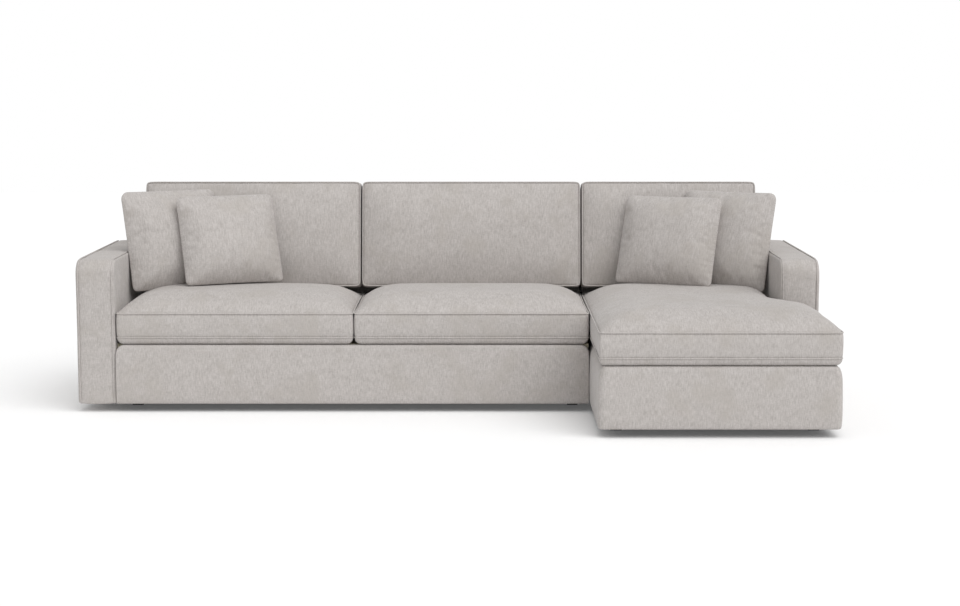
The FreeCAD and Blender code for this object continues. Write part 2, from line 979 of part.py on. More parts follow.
def crowned(left, right, length, lip, boxing, crown, start, finish, notch=None):
    """A boxed cushion lofted through its sections; notch gives a narrower far part."""
    waist, inset = size("cushion_waist"), size("cushion_inset")

    def section(depth, share, far_right, drawn):
        ends = depth in (0.0, length)
        draw = waist * (1 - (2 * depth / length - 1) ** 2)
        return crown_section(
            left + draw,
            far_right - draw * drawn,
            depth,
            lip,
            boxing,
            crown * share,
            1.0 if ends else inset,
            lip - 1.0 if ends else 0.0,
        )

    def loft(rows, far_right, drawn):
        return Part.makeLoft([section(d, s, far_right, drawn) for d, s in rows], True, True)

    rows = depths_of(length, start, finish)
    if notch is None:
        return loft(rows, right, 1)
    step, inner_right = notch
    before = max(row for row in rows if row[0] < step)
    after = min(row for row in rows if row[0] > step)
    part = (step - before[0]) / (after[0] - before[0])
    at_step = (step, before[1] + part * (after[1] - before[1]))
    near_part = loft([row for row in rows if row[0] < step] + [at_step], right, 0)
    far_part = loft([at_step] + [row for row in rows if row[0] > step], inner_right, 0)
    return near_part.fuse(far_part).removeSplitter()


def solid_box(left, right, front, rear, bottom, top):
    """A block between its six limits."""
    return Part.makeBox(right - left, rear - front, top - bottom, Vector(left, front, bottom))


def shrunk(shape, limits, by):
    """A block inside given limits, smaller by the same amount on every side."""
    left, right, front, rear, bottom, top = limits
    return shape(left + by, right - by, front + by, rear - by, bottom + by, top - by)


# Outer form of each cushion, and the straight-sided form of each pillow
FORMS = {}
TAUT_FORMS = {}
# A cushion has settled when it is this near its wanted gap
SETTLED = 0.02


def soft_pair(name, kind, outer, hollow, filling):
    """Cover and filling of one cushion as two nodes that share a placement."""
    FORMS[name] = outer
    cover = doc.addObject("Part::Feature", f"{name}_outer")
    cover.Shape = outer.cut(hollow)
    core = doc.addObject("Part::Feature", f"{name}_inner")
    core.Shape = filling
    return keep(cover, f"{name}_cover"), keep(core, f"{name}_{kind}")


def lay(pair, placement):
    """Place a cover and its filling."""
    for item in pair:
        item.Placement = placement


def shift(pair, step):
    """Move a cover and its filling by one step."""
    for item in pair:
        item.Placement = Placement(item.Placement.Base + step, item.Placement.Rotation)


def placed_form(name, forms=FORMS):
    """Form of a cushion, or the cover of an arm, where it now is."""
    cover = NODES[f"{name}_cover"]
    if name not in forms:
        return cover.Shape
    form = forms[name].copy()
    form.Placement = cover.Placement
    return form


def settle(name, pair, direction, others, gap="clearance", forms=FORMS):
    """Move a cushion along a direction until it is a gap away from other pieces."""
    direction = Vector(*direction).normalize()
    around = Part.makeCompound([placed_form(other) for other in others])
    wanted = size(gap)
    spare = placed_form(name, forms).distToShape(around)[0] - wanted
    while spare > SETTLED:
        shift(pair, direction * spare)
        spare = placed_form(name, forms).distToShape(around)[0] - wanted


# Seat cushions lie flat on the deck pads
seat_left = size("left_inner + seat_gap")
seat_split = seat_left + size("seat_split")
seat_form = [size(word) for word in ("seat_lip", "seat_boxing", "seat_crown")]
seat_top = seat_form[0] + seat_form[1]
seat_depth = size("back_foot - front - 2 * clearance")
core_inset, core_floor = size("core_inset"), size("core_floor")
play = size("clearance")


def seat_cushion(name, left, right):
    """A boxed seat cushion between two places across the sofa."""
    outer = crowned(left, right, seat_depth, *seat_form, SHOULDER, SETTLED_SHOULDER)
    limits = (
        left + core_inset,
        right - core_inset,
        core_inset,
        seat_depth - core_inset,
        core_floor,
        seat_top,
    )
    pair = soft_pair(
        name,
        "core",
        outer,
        shrunk(solid_box, limits, 0),
        shrunk(solid_box, limits, play),
    )
    lay(pair, Placement(Vector(0, size("front"), size("base_top") + play), Rotation()))


seat_cushion("seat_left", seat_left, seat_split)
seat_cushion("seat_middle", seat_split + size("seat_gap"), size("sofa_right") - play)

# The chaise cushion reaches over the border in front of the right arm
chaise_left = size("chaise_left + chaise_edge")
chaise_right = size("right_end - seat_gap")
notch_right = size("right_inner - seat_gap")
notch_depth = size("chaise_reach - seat_gap")
chaise_depth = seat_depth + size("chaise_reach")


def stepped_block(by):
    """The foam of the chaise cushion, smaller by the same amount on every side."""
    near_part = solid_box(
        chaise_left + core_inset + by,
        chaise_right - core_inset - by,
        core_inset + by,
        notch_depth - core_inset - by,
        core_floor + by,
        seat_top - by,
    )
    far_part = solid_box(
        chaise_left + core_inset + by,
        notch_right - core_inset - by,
        core_inset + by,
        chaise_depth - core_inset - by,
        core_floor + by,
        seat_top - by,
    )
    return near_part.fuse(far_part).removeSplitter()


chaise_pair = soft_pair(
    "seat_chaise",
    "core",
    crowned(
        chaise_left,
        chaise_right,
        chaise_depth,
        *seat_form,
        SHOULDER,
        SETTLED_SHOULDER,
        (notch_depth, notch_right),
    ),
    stepped_block(0),
    stepped_block(play),
)
lay(chaise_pair, Placement(Vector(0, size("toe"), size("base_top") + play), Rotation()))

# Back cushions stand on the seats and lean on the inside backs
rake = size("rake")
back_form = [size(word) for word in ("back_lip", "back_boxing", "back_crown")]
back_height = size("back_cushion_height")


def back_cushion(name, left, right, seat):
    """A boxed back cushion, lowered along the raked inside back onto its seat."""
    outer = crowned(left, right, back_height, *back_form, SHORT_SHOULDER, SHORT_SHOULDER)
    limits = (
        left + core_inset,
        right - core_inset,
        core_inset,
        back_height - core_inset,
        core_floor,
        back_form[0] + back_form[1],
    )
    pair = soft_pair(
        name,
        "insert",
        outer,
        shrunk(solid_box, limits, 0),
        shrunk(solid_box, limits, play),
    )
    high = size("base_top + seat_lip + seat_boxing + seat_crown + drop_height")
    against = Vector(0, size(raked(f"{high}")) - size("clearance / cos(rake)"), high)
    lay(pair, Placement(against, Rotation(Vector(1, 0, 0), 90 - rake)))
    down = Rotation(Vector(1, 0, 0), 90 - rake).multVec(Vector(0, -1, 0))
    settle(name, pair, down, [seat])


back_cushion(
    "back_left",
    size("left_inner + back_arm_gap"),
    seat_split - size("back_split_left"),
    "seat_left",
)
back_cushion(
    "back_middle",
    seat_split + size("back_split_right"),
    size("sofa_right - back_module_gap"),
    "seat_middle",
)
back_cushion(
    "back_right",
    chaise_left,
    size("right_inner - back_short_arm_gap"),
    "seat_chaise",
)

# Share of the pillow's side and of half its thickness at each level of the loft
PILLOW_LEVELS = ((1.0, 0.04), (0.86, 0.44), (0.64, 0.76), (0.36, 0.96), (0.14, 1.0))
# Straight steps along each side of a pillow and of its insert
OUTER_STEPS = 4
INNER_STEPS = 2


def pillow_outline(side, waist, level, steps):
    """Square whose four sides are drawn in between the corners, in straight steps."""
    half = side / 2
    points = []
    for quarter in range(4):
        turn = Rotation(Vector(0, 0, 1), 90 * quarter)
        for step in range(steps):
            along = 2 * step / steps - 1
            drawn = waist * (1 - along**2)
            points.append(turn.multVec(Vector(along * half, drawn - half, level)))
    return closed(points)


def flat_faced(loft):
    """The same solid with planes for its flat faces, which mesh with few triangles."""
    faces = []
    for face in loft.Faces:
        corners = [vertex.Point for vertex in face.OuterWire.OrderedVertexes]
        faces.append(Part.Face(closed(corners)))
    shell = Part.Shell(faces)
    shell.sewShape()
    return Part.Solid(shell)


def pillow_form(side, thickness, waist, steps):
    """A pillow, thin at its rim and full in its middle, lofted through its levels."""
    levels = [(share, -rise) for share, rise in reversed(PILLOW_LEVELS)] + list(PILLOW_LEVELS)
    outlines = [
        pillow_outline(side * share, waist * share, thickness / 2 * rise, steps)
        for share, rise in levels
    ]
    return flat_faced(Part.makeLoft(outlines, True, True))


BACKWARD, DOWN = (0, 1, 0), (0, 0, -1)


def pillow(name, place, yaw, lean, seat, behind, beside=None):
    """A pillow on a seat, leaning on what is behind it and, at an end, on the arm."""
    side, thickness, waist, wall, rim, loose = [
        size(f"pillow_{word}") for word in ("side", "thickness", "waist", "wall", "rim", "play")
    ]
    inner_side = side - rim
    inner_thickness = thickness - 2 * wall
    pair = soft_pair(
        name,
        "insert",
        pillow_form(side, thickness, waist, OUTER_STEPS),
        pillow_form(inner_side, inner_thickness, waist, INNER_STEPS),
        pillow_form(inner_side - loose, inner_thickness - loose, waist, INNER_STEPS),
    )
    TAUT_FORMS[name] = pillow_form(side, thickness, 0, 1)
    turn = Rotation(Vector(0, 0, 1), yaw).multiply(Rotation(Vector(1, 0, 0), 90 - lean))
    lay(pair, Placement(Vector(*place), turn))
    sideways = (-1 if place[0] < 0 else 1, 0, 0)
    for gap in ("pillow_approach", "lean_gap"):
        settle(name, pair, DOWN, [seat], gap, TAUT_FORMS)
        settle(name, pair, BACKWARD, behind, gap)
        if beside:
            settle(name, pair, sideways, [beside], gap, TAUT_FORMS)
    settle(name, pair, DOWN, [seat], "clearance", TAUT_FORMS)


pillow_start = size(
    "base_top + seat_lip + seat_boxing + seat_crown + pillow_side / 2 + drop_height"
)


def pillow_group(arm_side, hand, seat, back_behind):
    """A rear pillow against the arm and a front pillow that leans on it."""
    inner = size(f"{arm_side}_inner")
    rear_name = f"pillow_{arm_side}_rear"
    pillow(
        rear_name,
        (inner - hand * size("pillow_rear_inset"), size("front + pillow_rear_start"), pillow_start),
        -hand * size("pillow_rear_yaw"),
        size("pillow_rear_lean"),
        seat,
        [back_behind],
        f"{arm_side}_arm",
    )
    pillow(
        f"pillow_{arm_side}_front",
        (inner - hand * size("pillow_front_inset"), size("front + pillow_front_start"), pillow_start),
        -hand * size("pillow_front_yaw"),
        size("pillow_front_lean"),
        seat,
        [back_behind, rear_name],
    )


pillow_group("left", -1, "seat_left", "back_left")
pillow_group("right", 1, "seat_chaise", "back_right")

doc.recompute()
os.makedirs("parts", exist_ok=True)
for old in os.listdir("parts"):
    os.remove(os.path.join("parts", old))
for item in doc.Objects:
    if {"Invalid", "Error"} & set(item.State):
        raise RuntimeError(f"{item.Name} did not build: {item.State}")
for name, node in NODES.items():
    if node.Shape.isNull() or not node.Shape.isValid():
        raise RuntimeError(f"{name} has no valid shape")
    print(name, len(node.Shape.Solids), round(node.Shape.Volume / 1e6, 3), node.Shape.BoundBox)
    node.Shape.exportStep(f"parts/{name}.step")
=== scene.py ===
import json
import logging
import math
from dataclasses import dataclass, field
from enum import Enum
from typing import Callable, Iterable, Sequence

import bpy
import numpy as np
from mathutils import Matrix, Vector

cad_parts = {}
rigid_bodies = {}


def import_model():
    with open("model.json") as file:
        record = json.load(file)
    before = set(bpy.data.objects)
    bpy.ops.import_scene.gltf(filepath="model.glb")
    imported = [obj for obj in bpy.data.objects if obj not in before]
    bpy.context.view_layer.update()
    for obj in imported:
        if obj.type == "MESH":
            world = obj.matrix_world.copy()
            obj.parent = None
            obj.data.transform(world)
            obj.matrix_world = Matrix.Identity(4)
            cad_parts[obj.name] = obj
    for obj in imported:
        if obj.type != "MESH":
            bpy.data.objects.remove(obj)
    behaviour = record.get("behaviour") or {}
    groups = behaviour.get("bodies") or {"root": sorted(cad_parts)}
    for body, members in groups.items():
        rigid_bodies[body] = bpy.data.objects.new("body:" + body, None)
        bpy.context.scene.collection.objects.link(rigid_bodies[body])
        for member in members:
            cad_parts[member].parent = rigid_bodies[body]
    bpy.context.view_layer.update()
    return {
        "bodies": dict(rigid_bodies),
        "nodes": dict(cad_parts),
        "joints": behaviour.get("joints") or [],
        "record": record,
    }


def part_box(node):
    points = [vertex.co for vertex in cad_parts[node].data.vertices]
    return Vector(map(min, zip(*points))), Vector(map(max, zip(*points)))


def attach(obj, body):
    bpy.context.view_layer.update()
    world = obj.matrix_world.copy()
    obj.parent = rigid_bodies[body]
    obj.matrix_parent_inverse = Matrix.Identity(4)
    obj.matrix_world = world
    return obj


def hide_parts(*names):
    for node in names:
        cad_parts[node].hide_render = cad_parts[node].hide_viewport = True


log = logging.getLogger("sofa")

Point = tuple[float, float, float]
Shape = Callable[[float, float], Point]


class Side(Enum):
    """Hand of a piece, as seen from the front; the value is its sign along X."""

    LEFT = -1
    RIGHT = 1


class Slot(Enum):
    """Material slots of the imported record."""

    UPHOLSTERY = "upholstery"
    FRAME_WOOD = "frame_wood"
    PANEL_BOARD = "panel_board"
    WEBBING = "webbing"
    FOAM = "foam"
    FIBRE = "fibre"
    DUST_CLOTH = "dust_cloth"
    FOOT_PLASTIC = "foot_plastic"
    STEEL = "steel"


class Tree:
    """Small helper that adds and joins the nodes of one node tree."""

    def __init__(self, owner: bpy.types.Material | bpy.types.World) -> None:
        """Start an empty tree.

        Args:
            owner: the material or world that the tree belongs to.
        """
        owner.use_nodes = True
        self.nodes = owner.node_tree.nodes
        self.links = owner.node_tree.links
        self.nodes.clear()

    def fill(self, socket: bpy.types.NodeSocket, value: object) -> None:
        """Give a socket a constant, or join another node's socket to it.

        Args:
            socket: the input to fill.
            value: a number, a tuple or an output socket, or None to leave it alone.
        """
        if isinstance(value, bpy.types.NodeSocket):
            self.links.new(value, socket)
        elif value is not None:
            socket.default_value = value

    def add(self, kind: str, *values: object, **settings: object) -> bpy.types.Node:
        """Add a node and fill its inputs.

        Args:
            kind: the node's type, without the word ShaderNode.
            values: what goes into its inputs, in order.
            settings: its own options, by name.

        Returns:
            The node.
        """
        node = self.nodes.new(f"ShaderNode{kind}")
        for name, setting in settings.items():
            setattr(node, name, setting)
        for socket, value in zip(node.inputs, values):
            self.fill(socket, value)
        return node

    def math(self, kind: str, first: object, second: object = 0.0) -> bpy.types.NodeSocket:
        """Result of one arithmetic step, such as ADD, on two values."""
        return self.add("Math", first, second, operation=kind).outputs[0]

    def seen(self) -> bpy.types.NodeSocket:
        """Pick the rays that meet the pale background, straight or by way of gloss or glass.

        Returns:
            A socket that is 1 for these rays and 0 for the others.
        """
        ray = self.add("LightPath")
        found = ray.outputs["Is Camera Ray"]
        for name in ("Is Glossy Ray", "Is Transmission Ray"):
            found = self.math("MAXIMUM", found, ray.outputs[name])
        return found


class Graph(Tree):
    """The nodes of one material, round a Principled shader."""

    def __init__(self, name: str) -> None:
        """Start the material.

        Args:
            name: name of the material.
        """
        self.material = bpy.data.materials.new(name)
        super().__init__(self.material)
        self.output = self.add("OutputMaterial")
        self.shader = self.add("BsdfPrincipled")
        self.links.new(self.shader.outputs[0], self.output.inputs[0])

    def blend(self, share: object, low: object, high: object) -> bpy.types.NodeSocket:
        """Mix two numbers by a share, from 0 for low to 1 for high."""
        return self.add("Mix", share, None, low, high, data_type="FLOAT").outputs[0]

    def tint(self, share: object, low: object, high: object) -> bpy.types.NodeSocket:
        """Mix two colours by a share, from 0 for low to 1 for high."""
        skipped = [None] * 5
        return self.add("Mix", share, *skipped, low, high, data_type="RGBA").outputs[2]

    def stretch(self, low: float, high: float, value: object) -> bpy.types.NodeSocket:
        """Spread a value between two limits over 0 to 1, smoothly."""
        return self.add("MapRange", value, low, high, interpolation_type="SMOOTHSTEP").outputs[0]

    def vector(self, x: object, y: object, z: object = 0.0) -> bpy.types.NodeSocket:
        """Put three numbers together."""
        return self.add("CombineXYZ", x, y, z).outputs[0]

    def split(self, value: bpy.types.NodeSocket) -> Sequence[bpy.types.NodeSocket]:
        """Take a vector apart into its three numbers."""
        return self.add("SeparateXYZ", value).outputs

    def noise(
        self, where: object, scale: float, detail: float = 2.0, rough: float = 0.5
    ) -> bpy.types.NodeSocket:
        """Cloudy noise.

        Args:
            where: vector to read the noise at.
            scale: clouds per metre.
            detail: octaves.
            rough: share of each finer octave.

        Returns:
            The noise, about 0 to 1.
        """
        node = self.add("TexNoise")
        for name, value in zip(("Vector", "Scale", "Detail", "Roughness"), (where, scale, detail, rough)):
            self.fill(node.inputs[name], value)
        return node.outputs[0]

    def place(self) -> tuple[bpy.types.NodeSocket, bpy.types.NodeSocket]:
        """Position and normal in the piece's own frame."""
        node = self.add("TexCoord")
        return node.outputs["Object"], node.outputs["Normal"]

    def set(self, **values: float) -> None:
        """Set constants on the shader's own sockets, with _ for a blank in a name."""
        for name, value in values.items():
            self.shader.inputs[name.replace("_", " ")].default_value = value

    def coat(
        self, colour: object, roughness: object, height: object, relief: tuple[float, float]
    ) -> bpy.types.Material:
        """Join colour, roughness and relief to the shader.

        Args:
            colour: the surface's colour.
            roughness: its roughness.
            height: its height, 0 to 1.
            relief: share of the bump that is used, and what a height of 1 is, in metres.

        Returns:
            The material.
        """
        bump = self.add("Bump")
        for name, value in zip(("Strength", "Distance", "Height"), (*relief, height)):
            self.fill(bump.inputs[name], value)
        for name, value in (("Base Color", colour), ("Roughness", roughness), ("Normal", bump.outputs[0])):
            self.fill(self.shader.inputs[name], value)
        return self.material


@dataclass(frozen=True)
class HeatheredLinen:
    """Brushed linen weave: upright slubs, finer cross threads and soft mottling."""

    name: str = "heathered_linen"
    shade: tuple = (0.336, 0.310, 0.292, 1.0)
    light: tuple = (0.568, 0.537, 0.518, 1.0)
    warm: tuple = (0.412, 0.380, 0.348, 1.0)
    slub_across: float = 330.0
    slub_along: float = 44.0
    thread: float = 900.0
    top_slope: float = 0.62
    slub_weight: float = 0.66
    fine_weight: float = 0.20
    cross_weight: float = 0.32
    mottle_weight: float = 0.22

    def material(self) -> bpy.types.Material:
        """Build the fabric.

        Returns:
            The material.
        """
        g = Graph(self.name)
        place, normal = g.place()
        x, y, z = g.split(place)
        nx, ny, nz = [g.math("ABSOLUTE", n) for n in g.split(normal)]
        top = g.math("GREATER_THAN", nz, self.top_slope)
        end = g.math("GREATER_THAN", nx, ny)
        across = g.blend(top, g.blend(end, x, y), x)
        along = g.blend(top, z, y)
        depth = g.blend(top, g.blend(end, y, x), z)
        slub = self.threads(g, across, along, self.slub_across, self.slub_along, depth)
        fine = self.threads(g, across, along, self.thread, self.slub_along * 4, depth)
        cross = self.threads(g, along, across, self.slub_across, self.slub_along * 1.8, depth)
        mottle = g.noise(place, 26.0, 4.0, 0.62)
        cloud = g.noise(place, 7.0, 3.0, 0.55)
        weave = g.math("MULTIPLY", slub, self.slub_weight)
        for part, weight in (
            (fine, self.fine_weight),
            (cross, self.cross_weight),
            (mottle, self.mottle_weight),
        ):
            weave = g.math("ADD", weave, g.math("MULTIPLY", part, weight))
        share = g.stretch(0.34, 1.02, weave)
        colour = g.tint(share, self.shade, self.light)
        brushed = g.math("MULTIPLY", g.stretch(0.48, 0.68, cloud), 0.42)
        colour = g.tint(brushed, colour, self.warm)
        g.set(Sheen_Weight=0.22, Sheen_Roughness=0.45, Specular_IOR_Level=0.18)
        relief = g.math("ADD", g.math("MULTIPLY", slub, 0.6), g.math("MULTIPLY", cross, 0.4))
        return g.coat(colour, g.blend(share, 0.96, 0.84), relief, (0.35, 0.0009))

    def threads(
        self, g: Graph, across: object, along: object, dense: float, sparse: float, depth: object
    ) -> bpy.types.NodeSocket:
        """Noise drawn out along one direction of the weave.

        Args:
            g: the material's graph.
            across: coordinate across the threads, in metres.
            along: coordinate along the threads, in metres.
            dense: threads per metre.
            sparse: slubs per metre of thread.
            depth: coordinate through the cloth, in metres.

        Returns:
            The thread noise.
        """
        rates = ((across, dense), (along, sparse), (depth, sparse))
        where = g.vector(*[g.math("MULTIPLY", value, rate) for value, rate in rates])
        return g.noise(where, 1.0, 2.0, 0.6)


@dataclass(frozen=True)
class WovenBand:
    """Close-woven cloth or strap, used for webbing and the dust cloth."""

    name: str
    pale: tuple
    dark: tuple
    pitch: float = 600.0

    def material(self) -> bpy.types.Material:
        """Build the cloth.

        Returns:
            The material.
        """
        g = Graph(self.name)
        place, _ = g.place()
        x, y, z = g.split(place)
        turns = self.pitch * 2 * math.pi
        warp, weft = [g.math("SINE", g.math("MULTIPLY", way, turns)) for way in (x, g.math("ADD", y, z))]
        weave = g.math("ADD", g.math("MULTIPLY", g.math("MULTIPLY", warp, weft), 0.25), 0.5)
        mixed = g.blend(0.5, weave, g.noise(place, 40.0, 3.0, 0.6))
        colour = g.tint(g.stretch(0.3, 0.7, mixed), self.dark, self.pale)
        return g.coat(colour, g.blend(mixed, 0.95, 0.8), weave, (0.3, 0.0004))


@dataclass(frozen=True)
class MouldedPlastic:
    """Black moulded feet with a fine spark finish."""

    name: str = "moulded_plastic"
    base: tuple = (0.018, 0.018, 0.020, 1.0)
    worn: tuple = (0.045, 0.044, 0.043, 1.0)

    def material(self) -> bpy.types.Material:
        """Build the plastic.

        Returns:
            The material.
        """
        g = Graph(self.name)
        place, _ = g.place()
        grain = g.noise(place, 900.0, 2.0, 0.6)
        scuff = g.noise(place, 60.0, 4.0, 0.7)
        colour = g.tint(g.stretch(0.55, 0.75, scuff), self.base, self.worn)
        return g.coat(colour, g.blend(grain, 0.42, 0.58), grain, (0.15, 0.0002))


@dataclass(frozen=True)
class Grained:
    """Finish whose colour, gloss and relief all follow one cloudy grain.

    Low and high are the colours at the grain's two limits. Clouds holds how fine, how detailed and how
    rough the grain is, and drawn is how much finer it is along each axis, where it isn't even.
    """

    name: str
    low: tuple
    high: tuple
    clouds: tuple = (500.0, 2.0, 0.7)
    drawn: tuple = ()
    limits: tuple = (0.3, 0.7)
    gloss: tuple = (1.0, 0.85)
    relief: tuple = (0.3, 0.0008)
    metallic: float = 0.0

    def material(self) -> bpy.types.Material:
        """Build the finish.

        Returns:
            The material.
        """
        g = Graph(self.name)
        where, _ = g.place()
        if self.drawn:
            parts = zip(g.split(where), self.drawn)
            where = g.vector(*[g.math("MULTIPLY", part, rate) for part, rate in parts])
        grain = g.noise(where, *self.clouds)
        g.set(Metallic=self.metallic)
        colour = g.tint(g.stretch(*self.limits, grain), self.low, self.high)
        return g.coat(colour, g.blend(grain, *self.gloss), grain, self.relief)


@dataclass(frozen=True)
class SawnWood(Grained):
    """Planed softwood of the frame, with its grain drawn out."""

    name: str = "sawn_wood"
    low: tuple = (0.58, 0.42, 0.26, 1.0)
    high: tuple = (0.40, 0.25, 0.13, 1.0)
    clouds: tuple = (1.0, 4.0, 0.6)
    drawn: tuple = (6.0, 6.0, 90.0)
    limits: tuple = (0.35, 0.7)
    gloss: tuple = (0.55, 0.75)
    relief: tuple = (0.2, 0.0005)


@dataclass(frozen=True)
class FleckedBoard(Grained):
    """Pressed board with fine chips."""

    name: str = "flecked_board"
    low: tuple = (0.52, 0.40, 0.27, 1.0)
    high: tuple = (0.30, 0.20, 0.11, 1.0)
    clouds: tuple = (160.0, 3.0, 0.7)
    limits: tuple = (0.4, 0.65)
    gloss: tuple = (0.6, 0.85)
    relief: tuple = (0.15, 0.0004)


@dataclass(frozen=True)
class CellFoam(Grained):
    """Open foam of the seats, soft and faintly pitted."""

    name: str = "cell_foam"
    low: tuple = (0.62, 0.57, 0.42, 1.0)
    high: tuple = (0.80, 0.76, 0.60, 1.0)


@dataclass(frozen=True)
class BondedFibre(Grained):
    """Bonded fibre of the loose fillings, coarser than foam."""

    name: str = "bonded_fibre"
    low: tuple = (0.70, 0.70, 0.68, 1.0)
    high: tuple = (0.86, 0.86, 0.84, 1.0)
    clouds: tuple = (260.0, 2.0, 0.7)


@dataclass(frozen=True)
class ZincSteel(Grained):
    """Zinc-plated plates, bolts and screws."""

    name: str = "zinc_steel"
    low: tuple = (0.56, 0.57, 0.58, 1.0)
    high: tuple = (0.38, 0.39, 0.41, 1.0)
    clouds: tuple = (120.0, 3.0, 0.6)
    limits: tuple = (0.4, 0.6)
    gloss: tuple = (0.28, 0.46)
    relief: tuple = (0.08, 0.0002)
    metallic: float = 1.0


def wobble(points: np.ndarray, wave: float, seed: int) -> np.ndarray:
    """Smooth made-up unevenness at each point, from a few crossed waves.

    Args:
        points: N by 3 places, in metres.
        wave: length of the longest wave, in metres.
        seed: picks the directions and phases.

    Returns:
        N values, about -1 to 1.
    """
    random = np.random.default_rng(seed)
    total = np.zeros(len(points))
    for octave in range(3):
        ways = random.normal(size=(5, 3))
        ways /= np.linalg.norm(ways, axis=1)[:, None]
        phases = random.uniform(0, 2 * math.pi, 5)
        turns = points @ ways.T * (2 * math.pi / wave * 1.7**octave)
        total += np.sin(turns + phases).sum(axis=1) / 5 / 1.5**octave
    return total


def shoulder(distance: float, reach: float, power: float) -> float:
    """Share of a crown reached at a distance from its edge.

    Args:
        distance: how far in from the edge, in metres.
        reach: where the crown is full, in metres.
        power: how steeply it rises at the edge.

    Returns:
        0 at the edge, 1 from reach on.
    """
    return 1 - (1 - min(max(distance / reach, 0.0), 1.0)) ** power


def spread(stops: Sequence[float], cell: float) -> list[float]:
    """Grid lines through given stops, each gap cut into cells.

    Args:
        stops: places that have to be grid lines, in order.
        cell: wanted size of a cell.

    Returns:
        The grid lines.
    """
    lines = [stops[0]]
    for start, end in zip(stops, stops[1:]):
        count = max(1, round((end - start) / cell))
        lines += [start + (end - start) * i / count for i in range(1, count + 1)]
    return lines


@dataclass
class Boxed:
    """A closed form of two panels joined round their edge by a band.

    The panels share one grid. The band runs in rings from the first panel's edge to the second's.
    """

    across: list[float]
    along: list[float]
    first: Shape
    second: Shape
    band: Callable[[float, float, float], Point]
    rings: list[float]
    left_out: Callable[[float, float], bool] = lambda a, b: False
    points: list[Point] = field(default_factory=list)
    faces: list[tuple] = field(default_factory=list)
    edge_rings: list[list[int]] = field(default_factory=list)

    def build(self, name: str) -> bpy.types.Object:
        """Make the mesh.

        Args:
            name: name of the piece.

        Returns:
            The object, linked to the scene.
        """
        loop = self.outline()
        upper = self.panel(self.first, False)
        lower = self.panel(self.second, True)
        self.edge_rings = [[upper[key] for key in loop]]
        for share in self.rings:
            ring = []
            for i, j in loop:
                ring.append(len(self.points))
                self.points.append(self.band(self.across[i], self.along[j], share))
            self.edge_rings.append(ring)
        self.edge_rings.append([lower[key] for key in loop])
        self.faces += strips(self.edge_rings)
        return make_object(name, self.points, self.faces)

    def cells(self) -> list[list[tuple[int, int]]]:
        """Cells of the grid that the panels fill.

        Returns:
            For each cell the grid places of its four corners, anticlockwise.
        """
        found = []
        for i in range(len(self.across) - 1):
            for j in range(len(self.along) - 1):
                a = (self.across[i] + self.across[i + 1]) / 2
                b = (self.along[j] + self.along[j + 1]) / 2
                if not self.left_out(a, b):
                    found.append([(i, j), (i + 1, j), (i + 1, j + 1), (i, j + 1)])
        return found

    def outline(self) -> list[tuple[int, int]]:
        """Grid points round the panels, anticlockwise.

        Returns:
            Their grid places, in order.
        """
        edges: set[tuple] = set()
        for corners in self.cells():
            for start, end in zip(corners, corners[1:] + corners[:1]):
                if (end, start) in edges:
                    edges.remove((end, start))
                else:
                    edges.add((start, end))
        ahead = dict(edges)
        start = min(ahead)
        loop = [start]
        while ahead[loop[-1]] != start:
            loop.append(ahead[loop[-1]])
        return loop

    def panel(self, shape: Shape, flipped: bool) -> dict[tuple[int, int], int]:
        """Add one panel.

        Args:
            shape: gives a point for each place on the grid.
            flipped: True where the panel faces the other way.

        Returns:
            Index of the point at each grid place.
        """
        index: dict[tuple[int, int], int] = {}
        for corners in self.cells():
            for key in corners:
                if key not in index:
                    index[key] = len(self.points)
                    self.points.append(shape(self.across[key[0]], self.along[key[1]]))
            face = [index[key] for key in corners]
            self.faces.append(tuple(reversed(face) if flipped else face))
        return index


def strips(rows: Sequence[Sequence[int]]) -> list[tuple]:
    """Faces between closed rings of points, from each ring to the next.

    Args:
        rows: for each ring the indices of its points, in order.

    Returns:
        The faces.
    """
    faces = []
    for near, far in zip(rows, rows[1:]):
        for k in range(len(near)):
            ahead = (k + 1) % len(near)
            faces.append((near[k], far[k], far[ahead], near[ahead]))
    return faces


def make_object(
    name: str, points: Iterable[Sequence[float]], faces: Iterable[Sequence[int]]
) -> bpy.types.Object:
    """Make a smooth-shaded mesh object.

    Args:
        name: name of the piece.
        points: its points, in metres.
        faces: its faces, as rows of point indices.

    Returns:
        The object, linked to the scene.
    """
    mesh = bpy.data.meshes.new(name)
    mesh.from_pydata([tuple(p) for p in points], [], [tuple(f) for f in faces])
    mesh.validate()
    mesh.polygons.foreach_set("use_smooth", [True] * len(mesh.polygons))
    mesh.update()
    made = bpy.data.objects.new(name, mesh)
    bpy.context.scene.collection.objects.link(made)
    return made


def read_rows(rows: bpy.types.bpy_prop_collection, what: str) -> np.ndarray:
    """Read three numbers from each element of a mesh.

    Args:
        rows: the elements.
        what: name of the property that holds the numbers.

    Returns:
        The numbers, N by 3.
    """
    values = np.zeros(len(rows) * 3, np.float32)
    rows.foreach_get(what, values)
    return values.reshape(-1, 3).astype(float)


def read_points(piece: bpy.types.Object) -> np.ndarray:
    """Points of a piece's mesh, N by 3."""
    return read_rows(piece.data.vertices, "co")


def write_points(piece: bpy.types.Object, points: np.ndarray) -> None:
    """Put new points into a piece's mesh.

    Args:
        piece: the piece.
        points: its new points, N by 3.
    """
    piece.data.vertices.foreach_set("co", points.astype(np.float32).ravel())
    piece.data.update()


def read_normals(piece: bpy.types.Object) -> np.ndarray:
    """Normals at the points of a piece's mesh, N by 3."""
    return read_rows(piece.data.vertex_normals, "vector")


